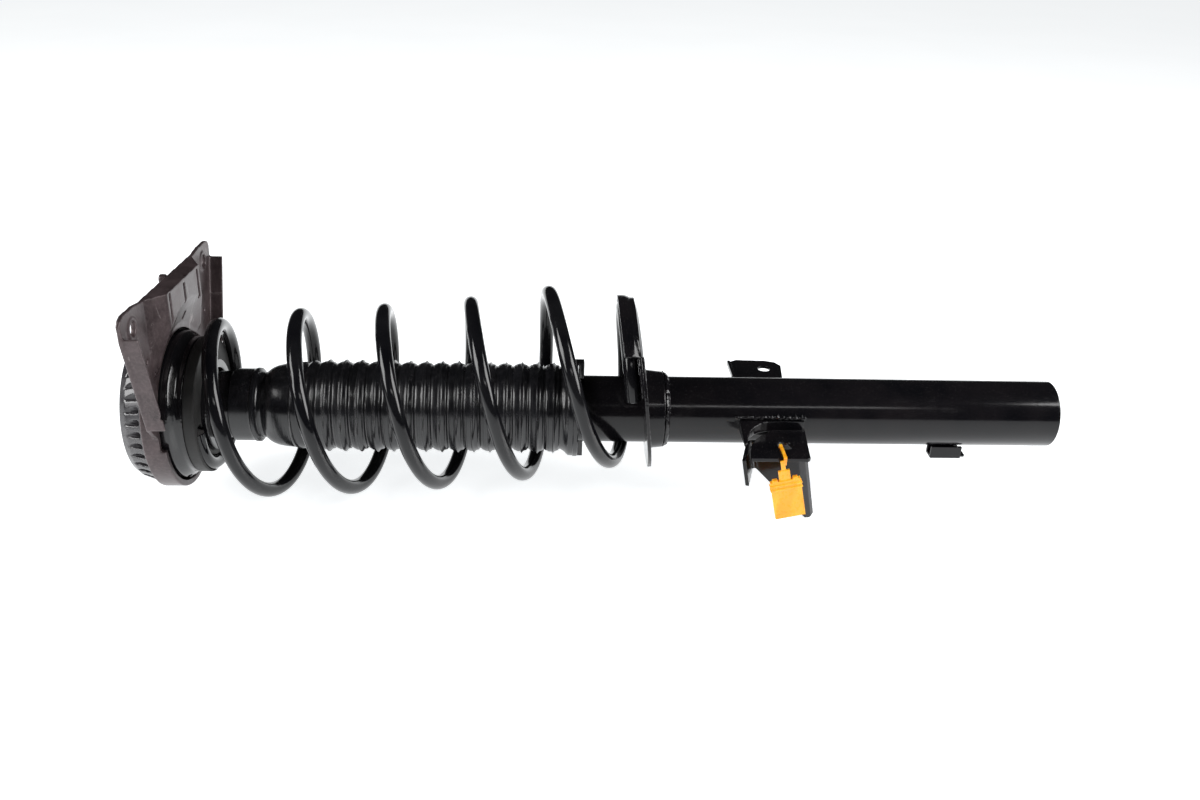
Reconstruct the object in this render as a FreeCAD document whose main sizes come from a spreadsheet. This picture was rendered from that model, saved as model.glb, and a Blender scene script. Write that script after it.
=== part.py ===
import FreeCAD, Part
import Sketcher
import math
import os

from FreeCAD import Placement, Rotation, Vector

# Strut assembly lying on its side.
# Row frame: origin at the centre of the tube's lower end face, +X along the strut axis and out of
# the lower end, +Z up, +Y away from the side that carries the stabiliser link bracket.
# Every sub-part is drawn upright: local z runs up the strut, local x is the row's +Z and local y is
# the row's +Y. UPRIGHT lays it down.

UPRIGHT = Placement(Vector(0, 0, 0), Rotation(Vector(0, 1, 0), -90))

doc = FreeCAD.newDocument("strut_assembly")
sheet = doc.addObject("Spreadsheet::Sheet", "Dim")
numbers = {}
made = []


def put(name, number, note):
    """One line of the sheet: what it is, its number and its name."""
    row = len(numbers) + 1
    sheet.set("A%d" % row, note)
    sheet.set("B%d" % row, str(number))
    sheet.setAlias("B%d" % row, name)
    numbers[name] = float(number)


# tube and damper
put("tube_outer", 55.0, "outer diameter of the reserve tube")
put("tube_wall", 2.6, "wall of the reserve tube")
put("tube_length", 425.0, "reserve tube, lower end to top")
put("cap_recess", 1.2, "base cap below the tube's end")
put("cap_thick", 5.0, "base cap thickness")
put("inner_outer", 37.0, "outer diameter of the pressure tube")
put("inner_bore", 33.0, "bore of the pressure tube")
put("inner_low", 16.0, "pressure tube, lower end")
put("inner_high", 412.0, "pressure tube, upper end")
put("rod_dia", 22.0, "piston rod diameter")
put("rod_fit", 0.04, "radial running clearance on the rod")
put("rod_low", 334.0, "lower end of the piston rod")
put("rod_shoulder", 728.0, "shoulder that carries the top mount")
put("rod_high", 760.0, "upper end of the rod's thread")
put("stud_dia", 14.0, "rod thread diameter, both ends")
put("guide_low", 396.0, "lower end of the rod guide")
put("guide_flange", 412.0, "underside of the guide's flange")
put("guide_high", 420.0, "top of the rod guide")
put("bush_outer", 25.2, "guide bush outer diameter")
put("piston_low", 350.0, "lower face of the piston")
put("piston_high", 374.0, "upper face of the piston")
put("piston_dia", 32.6, "piston diameter")
put("ring_dia", 32.92, "piston band diameter, running fit in the bore")
put("strike_outer", 58.0, "strike cap outer diameter")
put("strike_thick", 2.0, "strike cap end plate")
put("strike_skirt", 15.0, "strike cap skirt length")
put("spigot_length", 67.0, "plain end that goes into the knuckle")

# spring
put("wire_dia", 12.0, "spring wire diameter")
put("coil_radius", 72.0, "centre line radius of the spring")
put("coil_start_radius", 43.8, "centre line radius at the upper end")
put("coil_end_radius", 50.5, "centre line radius at the lower end")
put("coil_tilt", 6.5, "spring axis against the strut axis, degrees")
put("coil_mid_up", 11.9, "spring axis above the strut axis at coil_mid")
put("coil_mid", 534.4, "station where coil_mid_up is taken")
put("coil_top", 163.2, "upper end above coil_mid, along the spring axis")
put("coil_turns", 6.0, "turns")

# lower seat
put("seat_radius", 72.0, "radius of the lower seat's dish")
put("seat_shift", 7.5, "dish centre below the spring axis")
put("seat_bend", 13.0, "outer bend between the dish and its guard")
put("seat_back", 190.3, "back of the dish below coil_mid, along the spring axis")
put("seat_sheet", 3.0, "sheet thickness of the lower seat")
put("seat_guard", 15.5, "height of the raised guard")
put("seat_neck_low", 327.5, "lower end of the seat's neck")
put("neck_outer", 63.0, "outer diameter of the seat's neck")

# dust boot
put("boot_low", 398.0, "lower end of the boot")
put("boot_high", 676.0, "upper end of the boot")
put("boot_crest", 38.0, "boot radius at a crest")
put("boot_root", 34.2, "boot radius at a root")
put("boot_wall", 1.6, "boot wall")
put("boot_cap", 30.0, "boot radius at the cap")
put("boot_neck", 26.6, "boot radius at the neck")
put("boot_folds", 15, "number of folds")

# bump stop
put("bump_low", 612.5, "lower end of the bump stop")
put("bump_high", 690.0, "upper end of the bump stop")
put("bump_radius", 23.0, "bump stop radius")
put("cup_radius", 27.2, "bump stop cup radius")

# upper seat and bearing
put("useat_rim", 55.0, "rim radius of the upper seat")
put("useat_wall", 60.0, "side wall radius of the upper seat")
put("useat_hub", 37.0, "hub radius of the upper seat")
put("useat_bore", 30.0, "bore radius of the upper seat")
put("useat_low", 690.0, "lower end of the hub")
put("useat_rim_at", 703.0, "lower face of the rim")
put("useat_high", 722.0, "top of the upper seat")
put("ball_dia", 5.0, "bearing ball diameter")
put("ball_circle", 49.0, "bearing ball circle radius")
put("ball_count", 24, "bearing balls")
put("ball_at", 727.0, "station of the ball centres")

# mount plate
put("plate_at", 718.0, "spring side of the mount plate")
put("plate_sheet", 3.0, "mount plate sheet")
put("plate_top", 107.0, "top edge above the strut axis")
put("plate_half", 108.0, "half width at the top")
put("plate_foot_half", 80.0, "half width at the foot of the side flanges")
put("plate_foot", 12.0, "foot of the side flanges above the axis")
put("plate_clock", 2.7, "turn of the top mount about the strut axis, degrees")
put("ear_hole_half", 86.0, "mounting hole from the centre line")
put("ear_hole_up", 94.8, "mounting hole above the strut axis")
put("ear_hole_dia", 10.5, "mounting hole diameter")
put("flange_deep", 11.0, "depth of the side flanges")
put("box_deep", 11.0, "depth of the raised box")
put("box_base_half", 60.0, "half width of the box at the plate")
put("box_face_half", 39.5, "half width of the box's face")
put("cup_bore", 62.0, "radius of the plate's round opening")
put("skirt_outer", 67.0, "outer radius of the skirt")
put("dome_radius", 60.0, "outer radius of the dome at its top")
put("dome_high", 752.0, "top of the dome")
put("dome_wall", 3.0, "dome wall")
put("dome_hole", 22.0, "radius of the hole in the dome")
put("flute_count", 40, "flutes round the dome")

# link bracket, hose bracket, tab
put("link_hole_x", 233.5, "station of the link hole")
put("link_hole_out", 54.0, "link hole from the strut axis")
put("link_hole_dia", 12.3, "link hole diameter")
put("link_plate_top", -4.2, "top of the link plate")
put("link_plate_sheet", 3.6, "link plate thickness")
put("link_front", 75.0, "front edge of the link plate")
put("hose_hole_x", 236.0, "station of the hose bracket hole")
put("hose_hole_out", 43.0, "hose bracket hole from the strut axis")
put("hose_hole_dia", 10.5, "hose bracket hole diameter")
put("hose_up", 19.0, "top of the hose bracket")

# seal tag
put("tag_width", 24.0, "tag width")
put("tag_height", 34.0, "tag height")
put("tag_thick", 4.0, "tag thickness")
put("tag_lean", -13.0, "lean of the tag, degrees")


class Size:
    """A number together with the sheet expression that gives it."""

    def __init__(self, number, text):
        self.number = float(number)
        self.text = text

    def __add__(self, other):
        other = size(other)
        return Size(self.number + other.number, "(%s + %s)" % (self.text, other.text))

    def __sub__(self, other):
        other = size(other)
        return Size(self.number - other.number, "(%s - %s)" % (self.text, other.text))

    def __rsub__(self, other):
        return size(other) - self

    def __radd__(self, other):
        return size(other) + self

    def __neg__(self):
        return Size(-self.number, "(0 - %s)" % self.text)

    def __mul__(self, factor):
        return Size(self.number * factor, "(%s * %s)" % (self.text, factor))

    def __truediv__(self, factor):
        return Size(self.number / factor, "(%s / %s)" % (self.text, factor))


def size(value):
    """A sheet name or a plain number as a Size."""
    if isinstance(value, Size):
        return value
    if isinstance(value, str):
        return Size(numbers[value], "Dim." + value)
    if value < 0:
        return Size(value, "(0 - %s)" % -value)
    return Size(value, "%s" % value)


def origin_plane(body, role):
    """The body's own origin plane with that role."""
    for item in body.Origin.OriginFeatures:
        if item.Role == role:
            return item
    raise ValueError(role)


def bind(sketch, constraint, value):
    """Adds a constraint and ties it to the sheet."""
    index = sketch.addConstraint(constraint)
    sketch.setExpression("Constraints[%d]" % index, value.text)


def new_sketch(body, plane, offset):
    """A sketch on one of the body's planes, offset along the plane's normal."""
    sketch = body.newObject("Sketcher::SketchObject", body.Name + "_sketch")
    sketch.AttachmentSupport = (origin_plane(body, plane), [""])
    sketch.MapMode = "FlatFace"
    offset = size(offset)
    sketch.AttachmentOffset = Placement(Vector(0, 0, offset.number), Rotation())
    sketch.setExpression(".AttachmentOffset.Base.z", offset.text)
    return sketch


def draw_polygon(sketch, points):
    """A closed polygon whose corners are all tied to the sheet."""
    points = [(size(a), size(b)) for a, b in points]
    spots = [Vector(a.number, b.number, 0) for a, b in points]
    count = len(points)
    first = sketch.GeometryCount
    for k in range(count):
        sketch.addGeometry(Part.LineSegment(spots[k], spots[(k + 1) % count]), False)
    for k in range(count):
        here = first + k
        after = first + (k + 1) % count
        sketch.addConstraint(Sketcher.Constraint("Coincident", here, 2, after, 1))
    for k in range(count):
        a, b = points[k]
        here = first + k
        bind(sketch, Sketcher.Constraint("DistanceX", -1, 1, here, 1, a.number), a)
        bind(sketch, Sketcher.Constraint("DistanceY", -1, 1, here, 1, b.number), b)


def draw_circle(sketch, a, b, radius):
    """A circle whose centre and radius are tied to the sheet."""
    a, b, radius = size(a), size(b), size(radius)
    here = sketch.GeometryCount
    circle = Part.Circle(Vector(a.number, b.number, 0), Vector(0, 0, 1), radius.number)
    sketch.addGeometry(circle, False)
    bind(sketch, Sketcher.Constraint("Radius", here, radius.number), radius)
    bind(sketch, Sketcher.Constraint("DistanceX", -1, 1, here, 3, a.number), a)
    bind(sketch, Sketcher.Constraint("DistanceY", -1, 1, here, 3, b.number), b)


class Maker:
    """Builds one PartDesign body out of sketched features."""

    def __init__(self, label, placement=UPRIGHT):
        self.body = doc.addObject("PartDesign::Body", label)
        self.body.Label = label
        self.body.Placement = placement
        made.append(self.body)

    def sketch(self, plane, offset, shapes):
        drawing = new_sketch(self.body, plane, offset)
        for shape in shapes:
            if shape[0] == "circle":
                draw_circle(drawing, *shape[1:])
            else:
                draw_polygon(drawing, shape[1])
        return drawing

    def finish_feature(self, feature, drawing):
        feature.Profile = drawing
        self.body.Tip = feature
        doc.recompute()
        return feature

    def pad(self, plane, offset, length, shapes):
        """Adds material from the offset plane along its normal."""
        drawing = self.sketch(plane, offset, shapes)
        feature = self.body.newObject("PartDesign::Pad", "pad")
        length = size(length)
        feature.Length = length.number
        feature.setExpression("Length", length.text)
        return self.finish_feature(feature, drawing)

    def pocket(self, plane, offset, length, shapes):
        """Takes material from the offset plane along its normal."""
        drawing = self.sketch(plane, offset, shapes)
        feature = self.body.newObject("PartDesign::Pocket", "pocket")
        length = size(length)
        feature.Length = length.number
        feature.setExpression("Length", length.text)
        feature.Reversed = True
        return self.finish_feature(feature, drawing)

    def turn(self, profile):
        """Revolves a profile of (radius, height) corners about the strut axis."""
        drawing = self.sketch("XZ_Plane", 0, [("polygon", profile)])
        feature = self.body.newObject("PartDesign::Revolution", "turn")
        feature.Profile = drawing
        feature.ReferenceAxis = (drawing, ["V_Axis"])
        feature.Angle = 360
        return self.finish_feature(feature, drawing)

    def groove(self, profile):
        """Turns away a profile of (radius, height) corners."""
        drawing = self.sketch("XZ_Plane", 0, [("polygon", profile)])
        feature = self.body.newObject("PartDesign::Groove", "groove")
        feature.Profile = drawing
        feature.ReferenceAxis = (drawing, ["V_Axis"])
        feature.Angle = 360
        return self.finish_feature(feature, drawing)

    def round_about(self, feature, count):
        """Repeats a feature round the strut axis."""
        pattern = self.body.newObject("PartDesign::PolarPattern", "pattern")
        pattern.Originals = [feature]
        pattern.Axis = (feature.Profile[0], ["N_Axis"])
        pattern.Angle = 360
        pattern.Occurrences = int(size(count).number)
        pattern.setExpression("Occurrences", size(count).text)
        self.body.Tip = pattern
        doc.recompute()
        return pattern

    def clear_tube(self, low, high):
        """Shapes the sub-part to the outside of the tube between two stations."""
        self.pocket("XY_Plane", low, size(high) - low, [("circle", 0, 0, size("tube_outer") / 2)])

    def soften(self, edges, radius):
        """Rounds the named edges."""
        rounded = self.body.Tip
        fillet = self.body.newObject("PartDesign::Fillet", "fillet")
        fillet.Base = (rounded, edges)
        fillet.Radius = radius
        self.body.Tip = fillet
        doc.recompute()
        return fillet


def edges_where(feature, wanted):
    """Names of the feature's edges that pass the test."""
    return ["Edge%d" % (k + 1) for k, edge in enumerate(feature.Shape.Edges) if wanted(edge)]


def edges_at_height(feature, height, radius):
    """Circular edges of that radius at that height."""
    def wanted(edge):
        curve = edge.Curve
        return (isinstance(curve, Part.Circle) and abs(curve.Radius - radius) < 0.01
                and abs(curve.Center.z - height) < 0.01)
    return edges_where(feature, wanted)


def turned(label, profile, placement=UPRIGHT):
    """A turned body in one call."""
    maker = Maker(label, placement)
    maker.turn(profile)
    return maker


def ring(label, inner, outer, low, high, placement=UPRIGHT):
    """A plain ring or disc."""
    return turned(label, [(inner, low), (outer, low), (outer, high), (inner, high)], placement)


def coded(label, shape, placement=UPRIGHT):
    """A sub-part whose shape no feature above can make."""
    item = doc.addObject("Part::Feature", label)
    item.Label = label
    item.Shape = shape
    item.Placement = placement
    made.append(item)
    return item


# ---------------------------------------------------------------- damper, fixed to the tube

def make_tube():
    """Reserve tube; a shallow rolled groove marks how far it goes into the knuckle."""
    outer = size("tube_outer") / 2
    maker = ring("reserve_tube", outer - "tube_wall", outer, 0, "tube_length")
    end = size("spigot_length")
    maker.groove([(outer - 0.4, end), (outer + 1.0, end), (outer + 1.0, end + 1.4),
                  (outer - 0.4, end + 1.4)])


def make_base_cap():
    bore = size("tube_outer") / 2 - "tube_wall"
    low = size("cap_recess")
    high = low + "cap_thick"
    turned("base_cap", [(0, low + 1.2), (bore - 6.0, low + 1.2), (bore - 3.5, low), (bore, low),
                        (bore, high), (0, high)])


def make_pressure_tube():
    ring("pressure_tube", size("inner_bore") / 2, size("inner_outer") / 2, "inner_low", "inner_high")


def make_base_valve():
    """Foot valve between the pressure tube and the base cap, with a ring of ports."""
    cap_top = size("cap_recess") + "cap_thick"
    bore = size("inner_bore") / 2
    low = size("inner_low")
    maker = turned("base_valve", [(16.0, cap_top), (22.0, cap_top), (22.0, low), (bore, low),
                                  (bore, low + 6.0), (5.0, low + 6.0), (5.0, low + 9.0),
                                  (0, low + 9.0), (0, low - 4.0), (16.0, low - 4.0)])
    port = maker.pocket("XY_Plane", low - 5.0, 12.0, [("circle", 11.0, 0, 1.6)])
    maker.round_about(port, 6)


def make_rod_guide():
    """Sintered guide that closes the pressure tube and centres the rod."""
    bush = size("bush_outer") / 2
    wide = size("tube_outer") / 2 - "tube_wall"
    maker = turned("rod_guide", [(bush, "guide_low"), (size("inner_bore") / 2, "guide_low"),
                                 (size("inner_bore") / 2, "guide_flange"), (wide, "guide_flange"),
                                 (wide, "guide_high"), (bush, "guide_high")])
    port = maker.pocket("XY_Plane", size("guide_flange") - 1.0, 10.0, [("circle", 21.6, 0, 1.5)])
    maker.round_about(port, 6)


def make_guide_bush():
    rod = size("rod_dia") / 2 + "rod_fit"
    ring("guide_bush", rod, size("bush_outer") / 2, "guide_low", "guide_high")


def make_rod_seal():
    rod = size("rod_dia") / 2 + "rod_fit"
    low = size("guide_high")
    high = size("tube_length")
    wide = size("tube_outer") / 2 - "tube_wall"
    turned("rod_seal", [(rod, low), (wide, low), (wide, high), (rod + 3.0, high),
                        (rod + 1.4, high - 2.2), (rod, high - 3.0)])


def make_strike_cap():
    """Pressed cap over the tube's end that the bump stop meets."""
    tube = size("tube_outer") / 2
    outer = size("strike_outer") / 2
    top = size("tube_length") + "strike_thick"
    low = size("tube_length") - "strike_skirt"
    maker = turned("strike_cap", [(13.0, "tube_length"), (tube, "tube_length"), (tube, low),
                                  (outer, low), (outer, top), (13.0, top)])
    notch = maker.pocket("XY_Plane", size("tube_length") - 1.0, 5.0, [("circle", 19.5, 0, 1.8)])
    maker.round_about(notch, 8)


# ---------------------------------------------------------------- lower spring seat and welds

def spring_frame():
    """Upright frame of the spring, leaning against the strut axis."""
    lean = Rotation(Vector(0, 1, 0), -numbers["coil_tilt"])
    return Placement(Vector(numbers["coil_mid_up"], 0, numbers["coil_mid"]), lean)


def sector(profile, start, stop):
    """A closed (radius, height) profile turned between two angles, in degrees."""
    face = Part.Face(Part.makePolygon([Vector(x, 0, z) for x, z in profile + profile[:1]]))
    face.rotate(Vector(0, 0, 0), Vector(0, 0, 1), start)
    return face.revolve(Vector(0, 0, 0), Vector(0, 0, 1), stop - start)


def bowl_profile(low, high, outer, thick, bend):
    """Wall that rises out of a flat sheet round a bend, as (radius, height) corners."""
    inside = []
    outside = []
    for k in range(7):
        angle = math.radians(15.0 * k)
        reach, rise = math.sin(angle), 1.0 - math.cos(angle)
        outside.append((outer - bend + bend * reach, low + bend * rise))
        inner_bend = bend - thick
        inside.append((outer - bend + inner_bend * reach, low + thick + inner_bend * rise))
    return outside + [(outer, high), (outer - thick, high)] + inside[::-1]


def lower_seat_shape():
    """Dish with a pad for the spring's end, a guard round the end and a neck on the tube."""
    low = -numbers["seat_back"]
    thick = numbers["seat_sheet"]
    radius = numbers["seat_radius"]
    guard_high = low + numbers["seat_guard"]
    flat = Part.makeCylinder(radius - 1.0, thick, Vector(0, 0, low))
    wall = bowl_profile(low, guard_high, radius, thick, numbers["seat_bend"])
    wide = Part.makeBox(80.0, 160.0, 30.0, Vector(14.0, -80.0, low - 1.0))
    guard = sector(wall, -50.0, 50.0)
    corner = Part.makeCylinder(radius, 30.0, Vector(0, 0, low - 1.0))
    corner = corner.cut(Part.makeCylinder(radius - numbers["seat_bend"], 30.0,
                                          Vector(0, 0, low - 1.0)))
    flat = flat.cut(corner.common(wide).common(sector([
        (1.0, low - 1.0), (radius + 5.0, low - 1.0), (radius + 5.0, low + 9.0),
        (1.0, low + 9.0)], -50.0, 50.0)))
    dish = flat.fuse(guard)
    dish.translate(Vector(-numbers["seat_shift"], 0, 0))
    top = low + thick
    rest = coil_height(numbers["coil_turns"]) - numbers["wire_dia"] / 2 - 0.05
    pad = sector([(44.0, top - 1.0), (62.0, top - 1.0), (62.0, rest), (44.0, rest)], -84.0, 105.0)
    shape = dish.fuse(pad)
    shape.Placement = spring_frame()
    tube = numbers["tube_outer"] / 2
    neck_low = numbers["seat_neck_low"]
    neck = Part.makeCone(numbers["neck_outer"] / 2, 34.0, 350.0 - neck_low, Vector(0, 0, neck_low))
    above = Part.makeBox(300, 300, 60)
    above.Placement = spring_frame().multiply(Placement(Vector(-150, -150, low + 1.0), Rotation()))
    shape = shape.fuse(neck.cut(above))
    shape = shape.cut(Part.makeCylinder(tube, 500.0, Vector(0, 0, 0)))
    return shape.removeSplitter()


def make_lower_seat():
    coded("lower_spring_seat", lower_seat_shape())


def bead(points, radius):
    """A row of overlapping drops along a line of points, as a weld looks."""
    drops = []
    for k, point in enumerate(points):
        size_here = radius * (1.0 + 0.12 * math.sin(2.4 * k))
        drops.append(Part.makeSphere(size_here, point))
    return drops[0].multiFuse(drops[1:])


def make_seat_weld():
    """Ring weld between the seat's neck and the tube."""
    tube = size("tube_outer") / 2
    neck = size("neck_outer") / 2
    low = size("seat_neck_low")
    turned("seat_weld", [(tube, low - 4.5), (tube + 1.6, low - 4.2), (neck - 0.8, low - 2.6),
                         (neck, low - 0.8), (neck, low), (tube, low)])


# ---------------------------------------------------------------- brackets on the tube

def make_link_plate():
    """Flat plate for the stabiliser link, with the bolt hole."""
    thick = size("link_plate_sheet")
    low = size("link_plate_top") - thick
    maker = Maker("link_plate")
    near = -size("link_front")
    maker.pad("YZ_Plane", low, thick, [
        ("polygon", [(near, 219.0), (near + 1.5, 217.0), (-26.5, 212.0), (-26.5, 237.0),
                     (-31.0, 243.0), (-37.0, 250.0), (-45.0, 256.5), (-55.0, 261.0),
                     (-65.0, 263.0), (near, 263.6)])])
    maker.pocket("YZ_Plane", low - 1.0, thick + 2.0, [
        ("circle", -size("link_hole_out"), "link_hole_x", size("link_hole_dia") / 2)])
    maker.clear_tube(200, 290)


def strip_solid(path, thick, low, high, drift):
    """A sheet on a plan path of (y, z) points, between two values of local x, leaning by drift."""
    left = []
    right = []
    count = len(path)
    for k in range(count):
        before = path[max(k - 1, 0)]
        after = path[min(k + 1, count - 1)]
        run = math.hypot(after[0] - before[0], after[1] - before[1])
        side = ((after[1] - before[1]) / run, -(after[0] - before[0]) / run)
        left.append(Vector(low, path[k][0], path[k][1]))
        right.append(Vector(low, path[k][0] + side[0] * thick, path[k][1] + side[1] * thick))
    loop = left + right[::-1]
    face = Part.Face(Part.makePolygon(loop + [loop[0]]))
    return face.extrude(Vector(high - low, 0, drift))


def link_web_shape():
    """Pressed web under the link plate: tongue, sloping edge, bend and side flange."""
    top = numbers["link_plate_top"] - numbers["link_plate_sheet"]
    path = [(-31.5, 199.5), (-36.0, 202.5), (-38.0, 207.0), (-38.0, 242.0)]
    for k in range(1, 6):
        angle = math.radians(15.0 * k)
        path.append((-38.0 - 6.0 * (1.0 - math.cos(angle)), 242.0 + 6.0 * math.sin(angle)))
    path.append((-72.0, 255.7))
    web = strip_solid(path, -3.0, -81.0, top, 15.0)
    outline = [Vector(5, -90, 190), Vector(-74, -90, 195), Vector(-79.5, -90, 198),
               Vector(-80.8, -90, 202), Vector(-80.0, -90, 206), Vector(-77.0, -90, 209.5),
               Vector(-33.0, -90, 252.0), Vector(-31.0, -90, 262), Vector(-31.0, -90, 275),
               Vector(5, -90, 275)]
    keep = Part.Face(Part.makePolygon(outline + [outline[0]])).extrude(Vector(0, 75, 0))
    return web.common(keep)


def link_skirt_shape():
    """Curved wall that joins the link plate's back edge to the tube."""
    tube = numbers["tube_outer"] / 2
    top = numbers["link_plate_top"]
    outer = [(-26.5, 214.0), (-29.5, 214.0), (-29.5, 237.0)]
    for k in range(1, 7):
        angle = math.radians(15.0 * k)
        outer.append((-29.5 - 26.0 * (1.0 - math.cos(angle)), 237.0 + 26.8 * math.sin(angle)))
    inner = [(-58.0, 266.8), (-44.0, 266.8), (-24.0, 266.8), (-24.0, 214.0)]
    loop = [Vector(top, y, z) for y, z in outer + inner]
    wall = Part.Face(Part.makePolygon(loop + [loop[0]])).extrude(Vector(9.0, 0, 0))
    slope = Part.Face(Part.makePolygon([
        Vector(top, -62.0, 200), Vector(top + 9.5, -62.0, 200), Vector(top + 9.5, -29.0, 200),
        Vector(top + 1.2, -62.0, 200), Vector(top, -62.0, 200)]))
    wedge = slope.extrude(Vector(0, 0, 90))
    wall = wall.cut(wedge)
    return wall.cut(Part.makeCylinder(tube, 500.0))


def make_link_bracket():
    make_link_plate()
    coded("link_web", link_web_shape())
    coded("link_skirt", link_skirt_shape())


def make_link_weld():
    tube = numbers["tube_outer"] / 2
    points = []
    for k in range(23):
        angle = math.radians(172.0 - 3.0 * abs(math.sin(k)))
        station = 214.0 + 2.5 * k
        rise = tube * math.sin(math.radians(13.5))
        out = tube * math.cos(math.radians(13.5))
        points.append(Vector(rise + 0.5 * math.sin(angle * k), -out, station))
    shape = bead(points, 2.3).cut(Part.makeCylinder(tube, 500.0))
    for other in ("link_skirt", "link_plate"):
        shape = shape.cut(lying_local(other))
    coded("link_weld", shape)


def lying_local(label):
    """A finished sub-part's shape back in the upright frame."""
    shape = doc.getObject(label).Shape.copy()
    shape.transformShape(UPRIGHT.inverse().toMatrix(), True)
    return shape


def make_hose_bracket():
    """Horizontal plate behind the tube for the brake hose, with an upturned lip."""
    thick = 2.5
    low = size("hose_up") - thick
    maker = Maker("hose_bracket")
    maker.pad("YZ_Plane", low, thick, [
        ("polygon", [(18.0, 224.0), (50.0, 220.0), (57.0, 224.0), (60.0, 232.0), (61.0, 258.0),
                     (55.0, 266.5), (18.0, 266.5)])])
    maker.pad("YZ_Plane", low + thick, 1.8, [
        ("polygon", [(24.0, 264.0), (55.5, 264.0), (55.5, 266.5), (24.0, 266.5)])])
    maker.pocket("YZ_Plane", low - 1.0, thick + 2.0, [
        ("circle", "hose_hole_out", "hose_hole_x", size("hose_hole_dia") / 2)])
    maker.clear_tube(200, 290)


def make_hose_weld():
    tube = numbers["tube_outer"] / 2
    points = []
    for k in range(14):
        rise = numbers["hose_up"]
        out = math.sqrt(tube * tube - rise * rise)
        points.append(Vector(rise + 0.6, out + 0.8 * math.sin(k), 230.0 + 2.6 * k))
    shape = bead(points, 1.9).cut(Part.makeCylinder(tube, 500.0))
    coded("hose_weld", shape.cut(lying_local("hose_bracket")))


def make_locating_tab():
    """Folded channel under the tube that fixes how far it goes into the knuckle."""
    tube = numbers["tube_outer"] / 2
    block = Part.makeBox(11.0, 12.0, 26.0, Vector(-tube - 8.0, -16.0, 73.5))
    inside = Part.makeBox(9.0, 7.4, 40.0, Vector(-tube - 5.6, -13.7, 66.0))
    tail = Part.makeBox(2.4, 7.0, 5.0, Vector(-tube - 8.0, -13.5, 69.2))
    shape = block.cut(inside).fuse(tail).cut(Part.makeCylinder(tube, 500.0))
    coded("locating_tab", shape.removeSplitter())


# ---------------------------------------------------------------- spring and boot

def through(knots, where):
    """Value of a smooth curve through (place, value, slope) knots."""
    for k in range(len(knots) - 1):
        t0, v0, s0 = knots[k]
        t1, v1, s1 = knots[k + 1]
        if where <= t1 or k == len(knots) - 2:
            span = t1 - t0
            u = (where - t0) / span
            a = (2 * u ** 3 - 3 * u ** 2 + 1) * v0 + (u ** 3 - 2 * u ** 2 + u) * span * s0
            b = (-2 * u ** 3 + 3 * u ** 2) * v1 + (u ** 3 - u ** 2) * span * s1
            return a + b
    return 0.0


def coil_height(turn):
    """Height of the wire's centre line after so many turns from the upper end."""
    drop = through([(0.0, 0.3, -28.0), (0.25, -4.2, 4.0), (0.5, 4.0, 48.0), (0.75, 18.5, 60.0),
                    (1.25, 49.5, 67.0), (1.75, 83.5, 68.0), (2.25, 117.0, 68.0),
                    (4.0, 239.4, 69.0), (4.69, 282.5, 58.0), (4.97, 300.2, 75.0),
                    (5.1, 313.5, 115.0), (5.28, 332.0, 82.0), (5.45, 341.0, 28.0),
                    (5.6, 342.2, 2.0), (6.0, 342.6, 1.0)], turn)
    return numbers["coil_top"] - drop


def smooth(share):
    """0 to 1 with level ends."""
    share = min(max(share, 0.0), 1.0)
    return share * share * (3.0 - 2.0 * share)


def coil_point(turn):
    """Centre line of the wire in the spring's own frame; the coil is a little bowed, aslant."""
    full = through([(0.0, -2.3, 0.0), (1.2, -1.6, 0.5), (2.2, -0.6, 0.5), (4.2, -0.2, 0.5),
                    (5.0, 0.7, 0.0), (6.0, 0.4, 0.0)], turn) + numbers["coil_radius"]
    bow = through([(0.0, 3.0, 0.0), (0.7, 3.0, 0.0), (2.2, -0.9, -2.9), (3.3, -3.6, 0.0),
                   (5.2, -0.4, 0.0), (6.0, 0.0, 0.0)], turn)
    slant = through([(0.0, 0.0, 0.0), (0.35, 0.0, 0.0), (1.0, 3.0, 2.0), (2.0, 4.2, 0.0),
                     (3.5, 3.6, -0.5), (4.5, 2.6, -3.0), (4.9, 0.0, 0.0), (6.0, 0.0, 0.0)], turn)
    narrow_start = 1.0 - smooth((turn - 0.12) / 0.75)
    narrow_end = 1.0 - smooth((numbers["coil_turns"] - turn) / 1.1)
    radius = full - (full - numbers["coil_start_radius"]) * narrow_start
    radius -= (full - numbers["coil_end_radius"]) * narrow_end
    angle = 2.0 * math.pi * turn
    height = coil_height(turn) + slant * math.cos(angle)
    return Vector(bow - radius * math.sin(angle), -radius * math.cos(angle), height)


def swept_coil(first, last, radius):
    """The wire between two turns, as one round bar."""
    steps = int(round((last - first) * 24))
    points = [coil_point(first + (last - first) * k / steps) for k in range(steps + 1)]
    curve = Part.BSplineCurve()
    curve.interpolate(points)
    spine = Part.Wire(curve.toShape())
    along = curve.tangent(curve.FirstParameter)[0]
    section = Part.Wire(Part.makeCircle(radius, points[0], along))
    return spine.makePipeShell([section], True, True)


def make_spring():
    shape = swept_coil(0.0, numbers["coil_turns"], numbers["wire_dia"] / 2)
    coded("coil_spring", shape, UPRIGHT.multiply(spring_frame()))


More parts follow.
